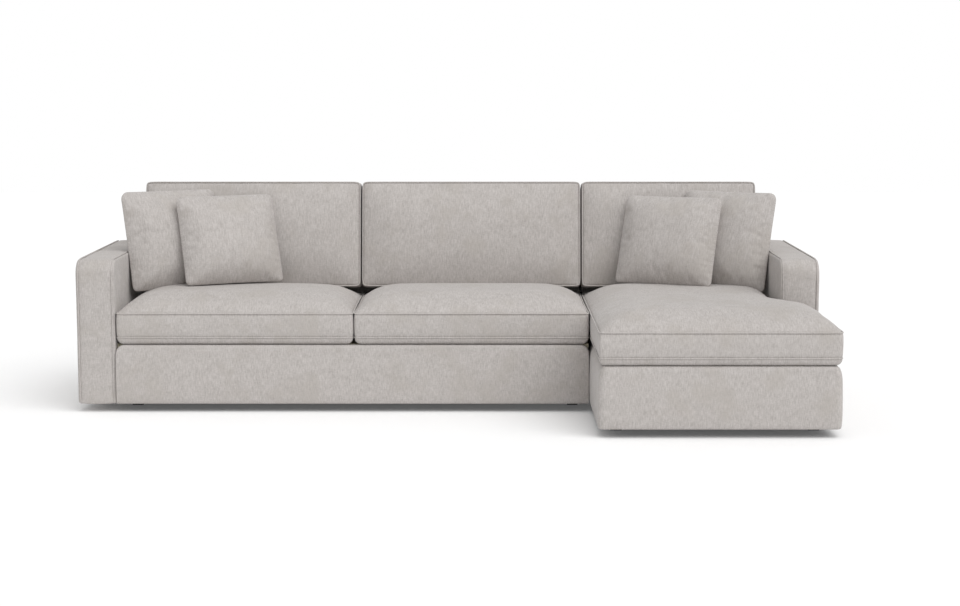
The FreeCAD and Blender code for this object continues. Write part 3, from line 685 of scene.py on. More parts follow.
def raise_points(piece: bpy.types.Object, height: np.ndarray, still: Iterable[int] = ()) -> None:
    """Move a piece's points along their normals.

    Args:
        piece: the piece, whose mesh is changed.
        height: how far each point moves, in metres.
        still: points that stay where they are.
    """
    height = height.copy()
    height[list(still)] = 0.0
    write_points(piece, read_points(piece) + read_normals(piece) * height[:, None])


def refine(piece: bpy.types.Object, levels: int = 1) -> None:
    """Subdivide a piece and keep the result.

    Args:
        piece: the piece.
        levels: how many times.
    """
    smooth = piece.modifiers.new("smooth", "SUBSURF")
    smooth.levels = levels
    smooth.render_levels = levels
    apply_all(piece)


def apply_all(piece: bpy.types.Object) -> None:
    """Turn a piece's modifiers into plain mesh.

    Args:
        piece: the piece.
    """
    graph = bpy.context.evaluated_depsgraph_get()
    shaped = bpy.data.meshes.new_from_object(piece.evaluated_get(graph))
    piece.modifiers.clear()
    old = piece.data
    piece.data = shaped
    bpy.data.meshes.remove(old)
    piece.data.polygons.foreach_set("use_smooth", [True] * len(piece.data.polygons))


def tube(name: str, path: np.ndarray, radius: float, sides: int = 8) -> bpy.types.Object:
    """A closed welt along a ring of points.

    Args:
        name: name of the piece.
        path: the ring, N by 3.
        radius: radius of the welt.
        sides: flats round it.

    Returns:
        The object.
    """
    ahead = np.roll(path, -1, axis=0) - np.roll(path, 1, axis=0)
    ahead /= np.linalg.norm(ahead, axis=1)[:, None]
    centre = path.mean(axis=0)
    outward = path - centre
    outward -= (outward * ahead).sum(axis=1)[:, None] * ahead
    outward /= np.linalg.norm(outward, axis=1)[:, None]
    upward = np.cross(ahead, outward)
    points = []
    for k in range(len(path)):
        for s in range(sides):
            angle = 2 * math.pi * s / sides
            points.append(path[k] + radius * (math.cos(angle) * outward[k] + math.sin(angle) * upward[k]))
    rows = [[k * sides + s for s in range(sides)] for k in range(len(path))]
    return make_object(name, points, strips([*rows, rows[0]]))


def smooth_ring(path: np.ndarray, rounds: int) -> np.ndarray:
    """Round off the corners of a ring a little.

    Args:
        path: the ring, N by 3.
        rounds: how often each point moves towards its neighbours.

    Returns:
        The rounder ring.
    """
    for _ in range(rounds):
        path = path * 0.5 + (np.roll(path, 1, axis=0) + np.roll(path, -1, axis=0)) * 0.25
    return path


@dataclass
class Workroom:
    """What every upholstered piece shares: its cloth, its welts, and hiding the CAD nodes that it replaces.
    """

    cloth: bpy.types.Material
    welt_radius: float = 0.0034
    groove: float = 0.0052
    set_in: float = 0.0006

    def dress(self, piece: bpy.types.Object, body: str) -> bpy.types.Object:
        """Smooth a piece, and give it its cloth and its body.

        Args:
            piece: the piece.
            body: CAD body that it moves with.

        Returns:
            The piece.
        """
        refine(piece)
        piece.data.materials.clear()
        piece.data.materials.append(self.cloth)
        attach(piece, body)
        log.info("piece %s: %d points", piece.name, len(piece.data.vertices))
        return piece

    def stand_in(
        self, piece: bpy.types.Object, body: str, nodes: Sequence[str], fill: float | None = None
    ) -> bpy.types.Object:
        """Dress a piece, and hide the CAD nodes that it stands for.

        Args:
            piece: the piece.
            body: CAD body that it moves with.
            nodes: CAD nodes that it stands for.

        Returns:
            The piece.
        """
        self.dress(piece, body)
        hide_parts(*nodes)
        return piece

    def welt(self, name: str, owner: bpy.types.Object, ring: Sequence[int], body: str) -> bpy.types.Object:
        """Sew a welt along a ring of a piece's points.

        Args:
            name: name of the welt.
            owner: piece that it is sewn to.
            ring: indices of the points, in order.
            body: CAD body that it moves with.

        Returns:
            The welt.
        """
        points = read_points(owner)
        inward = read_normals(owner)[list(ring)]
        path = smooth_ring(points[list(ring)] - self.set_in * inward, 2)
        points[list(ring)] -= self.groove * inward
        write_points(owner, points)
        piece = tube(name, path, self.welt_radius)
        piece.matrix_world = owner.matrix_world.copy()
        return self.dress(piece, body)


@dataclass
class Filling:
    """How a cushion swells: a short cloth simulation under pressure."""

    pressure: float = 4.0
    frames: int = 20
    cap: float = 0.014
    slack: float = 0.0
    scene_start: int = 1

    def swell(self, piece: bpy.types.Object, held: Iterable[int]) -> None:
        """Blow a piece up between its held points, and cap how far it moves.

        Args:
            piece: the piece, whose mesh is changed.
            held: points that stay in place, such as those of its seams.
        """
        before = read_points(piece)
        group = piece.vertex_groups.new(name="held")
        group.add(list(held), 1.0, "REPLACE")
        cloth = piece.modifiers.new("cloth", "CLOTH")
        settings = cloth.settings
        settings.use_pressure = True
        settings.uniform_pressure_force = self.pressure
        settings.vertex_group_mass = "held"
        settings.shrink_min = -self.slack
        settings.effector_weights.gravity = 0.0
        cloth.point_cache.frame_start = self.scene_start
        cloth.point_cache.frame_end = self.scene_start + self.frames
        scene = bpy.context.scene
        for frame in range(self.scene_start, self.scene_start + self.frames):
            scene.frame_set(frame)
        graph = bpy.context.evaluated_depsgraph_get()
        shaped = piece.evaluated_get(graph).to_mesh()
        after = read_rows(shaped.vertices, "co")
        piece.evaluated_get(graph).to_mesh_clear()
        piece.modifiers.clear()
        piece.vertex_groups.clear()
        scene.frame_set(self.scene_start)
        move = after - before
        length = np.linalg.norm(move, axis=1)
        share = np.where(length > 1e-9, self.cap * np.tanh(length / self.cap) / np.maximum(length, 1e-9), 1.0)
        write_points(piece, before + move * share[:, None])
        log.info("%s swelled by up to %.1f mm", piece.name, 1000 * float(length.max()))


@dataclass
class Outline:
    """Rectangle with its own radius at each corner, as a map from a plain square grid."""

    left: float
    right: float
    bottom: float
    top: float
    bottom_left: float = 0.0
    bottom_right: float = 0.0
    top_left: float = 0.0
    top_right: float = 0.0

    def lines(self, cell: float, extra: Sequence[float] = ()) -> tuple[list[float], list[float]]:
        """Grid lines across and along, with the corners' arcs on lines of their own.

        Args:
            cell: wanted size of a cell.
            extra: further stops across.

        Returns:
            Lines across and lines along.
        """
        near = max(self.bottom_left, self.top_left)
        far = max(self.bottom_right, self.top_right)
        low = max(self.bottom_left, self.bottom_right)
        high = max(self.top_left, self.top_right)
        across = sorted({self.left, self.left + near, *extra, self.right - far, self.right})
        along = sorted({self.bottom, self.bottom + low, self.top - high, self.top})
        return spread(across, cell), spread(along, cell)

    def rounded(self, a: float, b: float) -> tuple[float, float]:
        """Move a place near a corner onto the corner's arc.

        Args:
            a: place across.
            b: place along.

        Returns:
            The place in the rounded outline.
        """
        for radius, corner_a, corner_b in (
            (self.bottom_left, self.left, self.bottom),
            (self.bottom_right, self.right, self.bottom),
            (self.top_left, self.left, self.top),
            (self.top_right, self.right, self.top),
        ):
            if radius <= 0:
                continue
            inward_a = 1 if corner_a == self.left else -1
            inward_b = 1 if corner_b == self.bottom else -1
            p = radius - (a - corner_a) * inward_a
            q = radius - (b - corner_b) * inward_b
            if p > 0 and q > 0:
                p_round = p * math.sqrt(max(0.0, 1 - q * q / (2 * radius * radius)))
                q_round = q * math.sqrt(max(0.0, 1 - p * p / (2 * radius * radius)))
                return (
                    corner_a + (radius - p_round) * inward_a,
                    corner_b + (radius - q_round) * inward_b,
                )
        return a, b

    def drawn(self, a: float, b: float, by_a: float, by_b: float, fade: float) -> tuple[float, float]:
        """Move a place inwards, most at the edges.

        Args:
            a: place across.
            b: place along.
            by_a: how far the left and right edges move in.
            by_b: how far the bottom and top edges move in.
            fade: distance from the edge at which nothing moves.

        Returns:
            The moved place.
        """

        def pull(place: float, low: float, high: float, by: float) -> float:
            """Move one coordinate inwards from its two edges.

            Args:
                place: the coordinate.
                low: the edge below it.
                high: the edge above it.
                by: how far the edges move in.

            Returns:
                The moved coordinate.
            """
            near = max(0.0, 1 - (place - low) / fade)
            far = max(0.0, 1 - (high - place) / fade)
            return place + by * (near - far)

        return pull(a, self.left, self.right, by_a), pull(b, self.bottom, self.top, by_b)


@dataclass
class BoxCushion:
    """A boxed cushion in its own frame: crowned face up, band with a welt at each edge."""

    name: str
    room: Workroom
    outline: Outline
    lip: float
    boxing: float
    crown: float
    filling: Filling
    reach: float = 0.23
    power: float = 2.7
    far_reach: float = 0.23
    far_power: float = 2.7
    tuck: float = 0.025
    waist: float = 0.004
    bulge: tuple = (0.001, 0.004)
    cell: float = 0.016
    seam_cell: float = 0.005
    fade: float = 0.11
    notch: tuple | None = None
    notch_reach: float = 0.06
    give: tuple = (0.1, 0.5, 1.0)
    uneven: float = 0.0011
    waves: tuple = (0.21, 0.06)
    fine_share: float = 0.45
    band_share: float = 0.625
    band_rings: tuple = (0.031, 0.16, 0.3125, 0.465, 0.594)
    tuck_rings: tuple = (0.66, 0.75, 0.875)
    seed: int = 1

    def drawn_in(self, a: float, b: float) -> tuple[float, float]:
        """Draw the sides in between the corners.

        Args:
            a: place across.
            b: place along.

        Returns:
            The moved place.
        """
        o = self.outline
        share_b = (b - o.bottom) / (o.top - o.bottom)
        share_a = (a - o.left) / (o.right - o.left)
        side = self.waist * (1 - (2 * share_b - 1) ** 2)
        end = self.waist * (1 - (2 * share_a - 1) ** 2)
        if self.notch:
            return a, b
        return o.drawn(a, b, side, end, (o.right - o.left) / 2)

    def pulled(self, a: float, b: float, by_a: float, by_b: float) -> tuple[float, float]:
        """Move a place inwards from the outline and from the notch, if there is one.

        Args:
            a: place across.
            b: place along.
            by_a: how far the left and right edges move in.
            by_b: how far the bottom and top edges move in.

        Returns:
            The moved place.
        """
        x, y = self.outline.drawn(a, b, by_a, by_b, self.fade)
        if self.notch:
            corner_a, corner_b = self.notch
            near_a = max(0.0, 1 - max(0.0, corner_a - a) / self.fade)
            near_b = max(0.0, 1 - max(0.0, corner_b - b) / self.fade)
            if a <= corner_a + 1e-9:
                x -= by_a * near_a * (1 if b >= corner_b - 1e-9 else near_a * near_b)
            if b <= corner_b + 1e-9:
                y -= by_b * near_b * (1 if a >= corner_a - 1e-9 else near_a * near_b)
        return x, y

    def plan(self, a: float, b: float, by_a: float = 0.0, by_b: float = 0.0) -> tuple[float, float]:
        """Place of a grid point in plan, rounded, drawn in and pulled inwards.

        Args:
            a: place across.
            b: place along.
            by_a: how far the left and right edges are pulled in.
            by_b: how far the bottom and top edges are pulled in.

        Returns:
            The place.
        """
        x, y = self.pulled(a, b, by_a, by_b)
        dx, dy = x - a, y - b
        x, y = self.drawn_in(*self.outline.rounded(a, b))
        return x + dx, y + dy

    def share(self, a: float, b: float) -> float:
        """Share of the crown reached at a place.

        Args:
            a: place across.
            b: place along.

        Returns:
            0 at the edge, 1 where the crown is full.
        """
        o = self.outline
        total = shoulder(a - o.left, self.reach, self.power) * shoulder(o.right - a, self.reach, self.power)
        total *= shoulder(b - o.bottom, self.reach, self.power)
        total *= shoulder(o.top - b, self.far_reach, self.far_power)
        if self.notch:
            gap = math.hypot(max(0.0, self.notch[0] - a), max(0.0, self.notch[1] - b))
            total *= shoulder(gap, self.notch_reach, self.power)
        return total

    def face(self, a: float, b: float) -> Point:
        """Point of the crowned face."""
        x, y = self.plan(a, b)
        return x, y, self.lip + self.boxing + self.crown * self.share(a, b)

    def back(self, a: float, b: float) -> Point:
        """Point of the flat face that the cushion rests on."""
        x, y = self.plan(a, b, self.tuck, self.tuck)
        return x, y, 0.0

    def side(self, a: float, b: float, share: float) -> Point:
        """Point of the band, and of the tucked strip below its lower welt.

        Args:
            a: place across.
            b: place along.
            share: how far down the band and the strip it is, 0 to 1.

        Returns:
            The point.
        """
        low = self.band_share
        if share <= low:
            swell = math.sin(math.pi * share / low)
            x, y = self.plan(a, b, -self.bulge[0] * swell, -self.bulge[1] * swell)
            return x, y, self.lip + self.boxing * (1 - share / low)
        angle = (share - low) / (1 - low) * math.pi / 2
        by = self.tuck * (1 - math.cos(angle))
        x, y = self.plan(a, b, by, by)
        return x, y, self.lip * (1 - math.sin(angle))

    def notched(self, a: float, b: float) -> bool:
        """Whether a place is inside the notch."""
        return self.notch is not None and a > self.notch[0] and b > self.notch[1]

    def make(self, body: str, where: Matrix, nodes: Sequence[str], fill: float) -> bpy.types.Object:
        """Build, swell, sew and place the cushion.

        Args:
            body: CAD body that it moves with.
            where: its frame in the row frame.
            nodes: CAD nodes that it stands for.

        Returns:
            The cushion.
        """
        o = self.outline
        near = self.seam_cell
        insets = (0.0, near, o.bottom_left)
        across = {o.left + inset for inset in insets} | {o.right - inset for inset in insets}
        along = {o.bottom + inset for inset in insets} | {o.top - inset for inset in insets}
        if self.notch:
            across |= {self.notch[0] - near, self.notch[0]}
            along |= {self.notch[1] - near, self.notch[1]}
        across, along = spread(sorted(across), self.cell), spread(sorted(along), self.cell)
        rings = [*self.band_rings, self.band_share, *self.tuck_rings]
        form = Boxed(across, along, self.face, self.back, self.side, rings, self.notched)
        piece = form.build(self.name)
        seam = 1 + len(self.band_rings)
        upper, lower = form.edge_rings[0], form.edge_rings[seam]
        resting = [i for ring in form.edge_rings[seam + 2 :] for i in ring]
        before = read_points(piece)
        floor = [i for i, point in enumerate(before) if point[2] < 1e-4]
        self.filling.swell(piece, [*upper, *lower, *resting, *floor])
        moved = read_points(piece) - before
        write_points(piece, before + moved * np.array(self.give))
        points = read_points(piece)
        height = self.uneven * wobble(points, self.waves[0], self.seed)
        height += self.fine_share * self.uneven * wobble(points, self.waves[1], self.seed + 7)
        raise_points(piece, height, [*upper, *lower, *floor])
        piece.matrix_world = where
        for name, ring in (("upper_welt", upper), ("lower_welt", lower)):
            self.room.welt(f"{self.name}_{name}", piece, ring, body)
        return self.room.stand_in(piece, body, nodes, fill)


@dataclass
class ThrowPillow:
    """A plump pillow with knife edges: two panels blown up, with the cloth puckered at the seam."""

    name: str
    room: Workroom
    width: float = 0.440
    height: float = 0.436
    sunk: float = 0.016
    thickness: float = 0.140
    rim: float = 0.004
    top_corner: float = 0.032
    foot_corner: float = 0.020
    waist: float = 0.002
    cell: float = 0.0115
    plump: tuple = (0.85, 2.2, 0.58)
    uneven: tuple = (0.0020, 0.0006)
    waves: tuple = (0.19, 0.05, 0.12)
    pucker: float = 0.0025
    pucker_pitch: float = 0.027
    pucker_reach: float = 0.030
    pucker_start: float = 0.008
    pucker_wander: float = 2.2
    pucker_foot: float = 1.1
    pucker_patches: tuple = (0.6, 1.4)
    seam_out: float = 1.004
    filling: Filling = field(default_factory=lambda: Filling(pressure=5.0, cap=0.014, slack=0.02))
    seed: int = 11

    def half_height(self, a: float, b: float) -> float:
        """Half thickness of the pillow at a place, before it is blown up.

        Args:
            a: place across.
            b: place along.

        Returns:
            The half thickness, in metres.
        """
        p, q = 1 - abs(a) / (self.width / 2), 1 - abs(b) / (self.height / 2)
        reach, power, fullness = self.plump
        full = shoulder(p, reach, power) * shoulder(q, reach, power)
        return self.rim + (self.thickness / 2 - self.rim) * full**fullness

    def plan(self, a: float, b: float) -> tuple[float, float]:
        """Place in plan, with round corners and sides drawn in between them.

        Args:
            a: place across.
            b: place along.

        Returns:
            The moved place.
        """
        half_a, half_b = self.width / 2, self.height / 2
        radii = (self.foot_corner, self.foot_corner, self.top_corner, self.top_corner)
        corners = Outline(-half_a, half_a, -half_b, half_b, *radii)
        x, y = corners.rounded(a, b)
        x *= 1 - self.waist / half_a * (1 - (b / half_b) ** 2)
        y *= 1 - self.waist / half_b * (1 - (a / half_a) ** 2)
        return x, y - self.sunk

    def face(self, a: float, b: float) -> Point:
        """Point of the front panel."""
        x, y = self.plan(a, b)
        return x, y, self.half_height(a, b)

    def back(self, a: float, b: float) -> Point:
        """Point of the back panel."""
        x, y = self.plan(a, b)
        return x, y, -self.half_height(a, b)

    def seam(self, a: float, b: float, share: float) -> Point:
        """Point of the edge seam, between the two panels.

        Args:
            a: place across.
            b: place along.
            share: 0 at the front panel, 1 at the back panel.

        Returns:
            The point.
        """
        x, y = self.plan(a, b)
        out = self.seam_out
        return x * out, (y + self.sunk) * out - self.sunk, self.rim * (1 - 2 * share)

    def make(self, body: str, where: Matrix, nodes: Sequence[str], fill: float) -> bpy.types.Object:
        """Build, swell and place the pillow.

        Args:
            body: CAD body that it moves with.
            where: its frame in the row frame.
            nodes: CAD nodes that it stands for.

        Returns:
            The pillow.
        """
        across = spread([-self.width / 2, self.width / 2], self.cell)
        along = spread([-self.height / 2, self.height / 2], self.cell)
        form = Boxed(across, along, self.face, self.back, self.seam, [0.5])
        piece = form.build(self.name)
        self.filling.swell(piece, [i for ring in form.edge_rings for i in ring])
        self.crease(piece)
        piece.matrix_world = where
        return self.room.stand_in(piece, body, nodes, fill)

    def crease(self, piece: bpy.types.Object) -> None:
        """Add soft unevenness all over and short creases that run in from the seam.

        Args:
            piece: the pillow, whose mesh is changed.
        """
        points = read_points(piece)
        a, b = points[:, 0], points[:, 1] + self.sunk
        to_side, to_end = self.width / 2 - np.abs(a), self.height / 2 - np.abs(b)
        edge = np.maximum(0.0, np.minimum(to_side, to_end))
        uneven = self.uneven[0] * wobble(points, self.waves[0], self.seed)
        uneven += self.uneven[1] * wobble(points, self.waves[1], self.seed + 3)
        inside = np.minimum(1.0, edge / self.pucker_reach)
        along = np.where(to_side < to_end, b, a)
        drift = wobble(points, self.waves[2], self.seed + 5)
        ripple = np.sin(2 * math.pi * along / self.pucker_pitch + self.pucker_wander * drift)
        reach = np.exp(-edge / self.pucker_reach) * np.minimum(1.0, edge / self.pucker_start)
        more = 1.0 + self.pucker_foot * np.clip(-b / (self.height / 2), 0.0, 1.0)
        least, most = self.pucker_patches
        ripple *= self.pucker * reach * more * np.clip(least + drift, 0.0, most)
        raise_points(piece, uneven * inside + ripple)


@dataclass
class SideForm:
    """An arm or a back: two end panels in side view, joined by a wide band with rounded edges."""

    name: str
    room: Workroom
    outline: Outline
    start: float
    width: float
    edge: float = 0.010
    edge_angles: tuple = (0.5, 1.05)
    cell: float = 0.022
    ring_cell: float = 0.020
    panel_bulge: float = 0.003
    band_bulge: float = 0.002
    uneven: float = 0.0009
    left_out: Callable[[float, float], bool] = lambda a, b: False
    lean: Callable[[float, float], tuple[float, float]] = lambda a, b: (a, b)
    extra: tuple = ()
    extra_along: tuple = ()
    fade: float = 0.12
    panel_reach: float = 0.10
    seam_cell: float = 0.005
    wave: float = 0.26
    seed: int = 21

    def inset(self, a: float, b: float, by: float) -> tuple[float, float]:
        """Place in side view, moved in from the outline.

        Args:
            a: place across.
            b: place along.
            by: how far the edges move in.

        Returns:
            The moved place.
        """
        x, y = self.outline.drawn(a, b, by, by, self.fade)
        dx, dy = x - a, y - b
        x, y = self.outline.rounded(a, b)
        return self.lean(x + dx, y + dy)

    def middle(self, a: float, b: float) -> float:
        """Share of a panel's bulge at a place, 0 at its edge."""
        o = self.outline
        return shoulder(min(a - o.left, o.right - a, b - o.bottom, o.top - b), self.panel_reach, 2.0)

    def near_panel(self, a: float, b: float) -> Point:
        """Point of the left end panel."""
        y, z = self.inset(a, b, self.edge)
        return self.start - self.panel_bulge * self.middle(a, b), y, z

    def far_panel(self, a: float, b: float) -> Point:
        """Point of the right end panel."""
        y, z = self.inset(a, b, self.edge)
        return self.start + self.width + self.panel_bulge * self.middle(a, b), y, z

    def band(self, a: float, b: float, share: float) -> Point:
        """Point of the band, with a quarter round at each edge.

        Args:
            a: place across.
            b: place along.
            share: how far across the band it is, 0 to 1.

        Returns:
            The point.
        """
        across = share * self.width
        nearest = min(across, self.width - across)
        if nearest < self.edge:
            by = self.edge - math.sqrt(max(0.0, self.edge**2 - (self.edge - nearest) ** 2))
        else:
            by = -self.band_bulge * math.sin(math.pi * share)
        y, z = self.inset(a, b, by)
        return self.start + across, y, z

    def make(self, body: str, nodes: Sequence[str]) -> bpy.types.Object:
        """Build and sew the piece.

        Args:
            body: CAD body that it moves with.
            nodes: CAD nodes that it stands for.

        Returns:
            The piece.
        """
        across, along = self.outline.lines(self.cell, self.extra)
        if self.extra_along:
            along = spread(sorted({along[0], *self.extra_along, along[-1]}), self.cell)
        rounding = [self.edge * (1 - math.cos(angle)) for angle in self.edge_angles] + [self.edge]
        inner = self.edge + self.seam_cell
        stops = spread([inner, self.width - inner], self.ring_cell)
        places = rounding + stops + [self.width - place for place in reversed(rounding)]
        rings = [place / self.width for place in places]
        form = Boxed(across, along, self.near_panel, self.far_panel, self.band, rings, self.left_out)
        piece = form.build(self.name)
        if self.outward(piece) < 0:
            piece.data.flip_normals()
        near_seam, far_seam = form.edge_rings[len(rounding)], form.edge_rings[-1 - len(rounding)]
        height = self.uneven * wobble(read_points(piece), self.wave, self.seed)
        raise_points(piece, height, [*near_seam, *far_seam])
        for name, ring in (("left_welt", near_seam), ("right_welt", far_seam)):
            self.room.welt(f"{self.name}_{name}", piece, ring, body)
        return self.room.stand_in(piece, body, nodes)

    def outward(self, piece: bpy.types.Object) -> float:
        """Above 0 where the faces of a piece point outwards."""
        points, normals = read_points(piece), read_normals(piece)
        return float(((points - points.mean(axis=0)) * normals).sum())


@dataclass
class Border:
    """Padded border of a base: one section swept round the module's open sides."""

    name: str
    room: Workroom
    path: list
    bottom: float
    top: float
    depth: float = 0.025
    lip: float = 0.022
    lip_depth: float = 0.015
    hem: float = 0.006
    uneven: float = 0.0011
    wave: float = 0.24
    face_steps: int = 13
    round_steps: int = 5
    seed: int = 31

    def section(
        self, drop: float, round_in: float, round_down: float, bulge: float
    ) -> list[tuple[float, float]]:
        """One section, as distances in from the face and heights.

        Args:
            drop: how much lower the top is here.
            round_in: width of the rounded top edge.
            round_down: height of the rounded top edge.
            bulge: how far the face swells.

        Returns:
            Its corners, from the face's bottom upwards and round the inside.
        """
        top = self.top - drop
        points = [(self.hem, self.bottom), (self.hem * 0.3, self.bottom + self.hem * 0.3)]
        face_foot, face_top = self.bottom + self.hem, top - round_down
        for i in range(1, self.face_steps):
            share = i / self.face_steps
            points.append((-bulge * math.sin(math.pi * share), face_foot + (face_top - face_foot) * share))
        for i in range(self.round_steps + 1):
            angle = math.pi / 2 * i / self.round_steps
            points.append((round_in * (1 - math.cos(angle)), face_top + round_down * math.sin(angle)))
        inner = self.depth + self.lip
        points += [(inner, top), (inner, top - self.lip_depth), (self.depth, top - self.lip_depth)]
        points += [(self.depth, (self.bottom + top) / 2), (self.depth, self.bottom)]
        return points

    def make(self, body: str, nodes: Sequence[str]) -> bpy.types.Object:
        """Sweep the border.

        Args:
            body: CAD body that it moves with.
            nodes: CAD nodes that it stands for.

        Returns:
            The border.
        """
        points: list[Point] = []
        rows = []
        for place, normal, drop, round_in, round_down, bulge in self.path:
            section = self.section(drop, round_in, round_down, bulge)
            rows.append([len(points) + i for i in range(len(section))])
            for inward, height in section:
                points.append((place[0] + normal[0] * -inward, place[1] + normal[1] * -inward, height))
        ends = [tuple(reversed(rows[0])), tuple(rows[-1])]
        piece = make_object(self.name, points, strips(rows) + ends)
        height = self.uneven * wobble(read_points(piece), self.wave, self.seed)
        uneven_rows = range(3, self.face_steps + 2)
        still = [i for row in rows for k, i in enumerate(row) if k not in uneven_rows]
        raise_points(piece, height, still)
        return self.room.stand_in(piece, body, nodes)


def border_path(
    corners: Sequence[tuple[float, float]], radius: float, cell: float, style: Callable[[float, float], tuple]
) -> list[tuple]:
    """Stations of a border along a path with rounded corners, seen from above.

    Args:
        corners: the path's corners, anticlockwise round the module.
        radius: radius of the rounded corners.
        cell: spacing of the stations.
        style: gives drop, rounding and bulge for a direction's X share and a distance.

    Returns:
        For each station its place, its outward normal and its style.
    """
    steps = 6
    raw = []
    for k, (start, end) in enumerate(zip(corners, corners[1:])):
        start_v, end_v = Vector(start), Vector(end)
        way = (end_v - start_v).normalized()
        normal = Vector((way.y, -way.x))
        low = radius if k > 0 else 0.0
        high = (end_v - start_v).length - (radius if k < len(corners) - 2 else 0.0)
        for distance in spread([low, high], cell):
            raw.append((start_v + way * distance, normal))
        if k < len(corners) - 2:
            centre = end_v - way * radius - normal * radius
            after = (Vector(corners[k + 2]) - end_v).normalized()
            ahead_normal = Vector((after.y, -after.x))
            for i in range(1, steps):
                turn = math.pi / 2 * i / steps
                out = normal * math.cos(turn) + ahead_normal * math.sin(turn)
                raw.append((centre + out * radius, out))
    stations = []
    length = 0.0
    total = sum((b[0] - a[0]).length for a, b in zip(raw, raw[1:]))
    for k, (place, normal) in enumerate(raw):
        if k:
            length += (place - raw[k - 1][0]).length
        dressed = style(abs(normal.x), min(length, total - length))
        stations.append(((place.x, place.y), (normal.x, normal.y), *dressed))
    return stations


@dataclass
class SeatRow:
    """The three seat cushions."""

    room: Workroom
    lip: float = 0.031
    boxing: float = 0.100
    corner: float = 0.016
    swelling: float = 0.007
    chaise_notch: tuple = (1.372, -0.1855)

    def build(self) -> None:
        """Make the cushions and put them on the deck pads."""
        for seed, name in enumerate(("seat_left", "seat_middle", "seat_chaise"), start=41):
            low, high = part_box(f"{name}_cover")
            outline = Outline(low.x, high.x, low.y, high.y, *[self.corner] * 4)
            long = name == "seat_chaise"
            cushion = BoxCushion(
                name,
                self.room,
                outline,
                self.lip,
                self.boxing,
                high.z - low.z - self.lip - self.boxing - self.swelling,
                Filling(cap=0.012),
                reach=0.155,
                power=3.2,
                far_reach=0.40,
                far_power=2.2,
                cell=0.020 if long else 0.017,
                notch=self.chaise_notch if long else None,
                seed=seed,
            )
            where = Matrix.Translation((0.0, 0.0, low.z))
            cushion.make(name, where, [f"{name}_cover", f"{name}_core"], fill=0.8)


@dataclass
class BackRow:
    """The three boxed back cushions, leaning on the raked inside back."""

    room: Workroom
    height: float = 0.452
    taller: float = 0.009
    wider: float = 0.003
    lip: float = 0.030
    boxing: float = 0.150
    crown: float = 0.034
    rake: float = math.radians(9)
    corner: float = 0.015

    def build(self) -> None:
        """Make the cushions and stand them on the seats."""
        turn = Matrix.Rotation(math.pi / 2 - self.rake, 4, "X")
        for seed, name in enumerate(("back_left", "back_middle", "back_right"), start=51):
            low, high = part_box(f"{name}_cover")
            outline = Outline(
                low.x - self.wider, high.x + self.wider, 0.0, self.height + self.taller, *[self.corner] * 4
            )
            cushion = BoxCushion(
                name,
                self.room,
                outline,
                self.lip,
                self.boxing,
                self.crown,
                Filling(cap=0.012),
                reach=0.16,
                far_reach=0.16,
                waist=0.0,
                bulge=(0.0055, 0.004),
                cell=0.017,
                give=(0.1, 0.4, 1.0),
                seed=seed,
            )
            # The cushion's rear top corner is its highest, and its rear face its furthest
            top_rear = turn @ Vector((0.0, self.height, 0.0))
            where = Matrix.Translation((0.0, high.y - top_rear.y, self.seat_level(high, turn))) @ turn
            cushion.make(name, where, [f"{name}_cover", f"{name}_insert"], fill=0.7)

    def seat_level(self, high: Vector, turn: Matrix) -> float:
        """Height of the cushion's frame, so that its top is where the CAD's is.

        Args:
            high: upper corner of the CAD cushion's box.
            turn: turn of the cushion.

        Returns:
            The height, in metres.
        """
        top = max((turn @ Vector((0.0, self.height, depth))).z for depth in (0.0, self.lip + self.boxing))
        return high.z - top


@dataclass
class PillowRow:
    """The four throw pillows, two at each end."""

    room: Workroom
    rear_yaw: float = 33.0
    rear_lean: float = 16.0
    front_yaw: float = 26.0
    front_lean: float = 20.0
    front_height: float = 0.397
    front_sunk: float = 0.014

    def build(self) -> None:
        """Make the pillows where the CAD ones lean."""
        seed = 61
        for side in Side:
            hand = side.value
            for row, yaw, lean in (
                ("rear", self.rear_yaw, self.rear_lean),
                ("front", self.front_yaw, self.front_lean),
            ):
                name = f"pillow_{side.name.lower()}_{row}"
                low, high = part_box(f"{name}_cover")
                turn = Matrix.Rotation(math.radians(-hand * yaw), 4, "Z")
                turn = turn @ Matrix.Rotation(math.radians(90 - lean), 4, "X")
                where = Matrix.Translation((low + high) / 2) @ turn
                pillow = ThrowPillow(name, self.room, seed=seed)
                if row == "front":
                    pillow.height, pillow.sunk = self.front_height, self.front_sunk
                pillow.make(name, where, [f"{name}_cover", f"{name}_insert"], fill=0.75)
                seed += 4


@dataclass
class Arms:
    """The two square arms with a rounded nose."""

    room: Workroom
    nose: float = 0.057
    small: float = 0.012
    hem: float = 0.0025

    def build(self) -> None:
        """Make both arms."""
        for seed, side in enumerate(Side, start=71):
            name = f"{side.name.lower()}_arm"
            low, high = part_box(f"{name}_cover")
            outline = Outline(
                low.y, high.y, low.z - self.hem, high.z, self.small / 2, self.small / 2, self.nose, self.small
            )
            arm = SideForm(name, self.room, outline, low.x, high.x - low.x, seed=seed)
            arm.make("frame", [f"{name}_cover"])


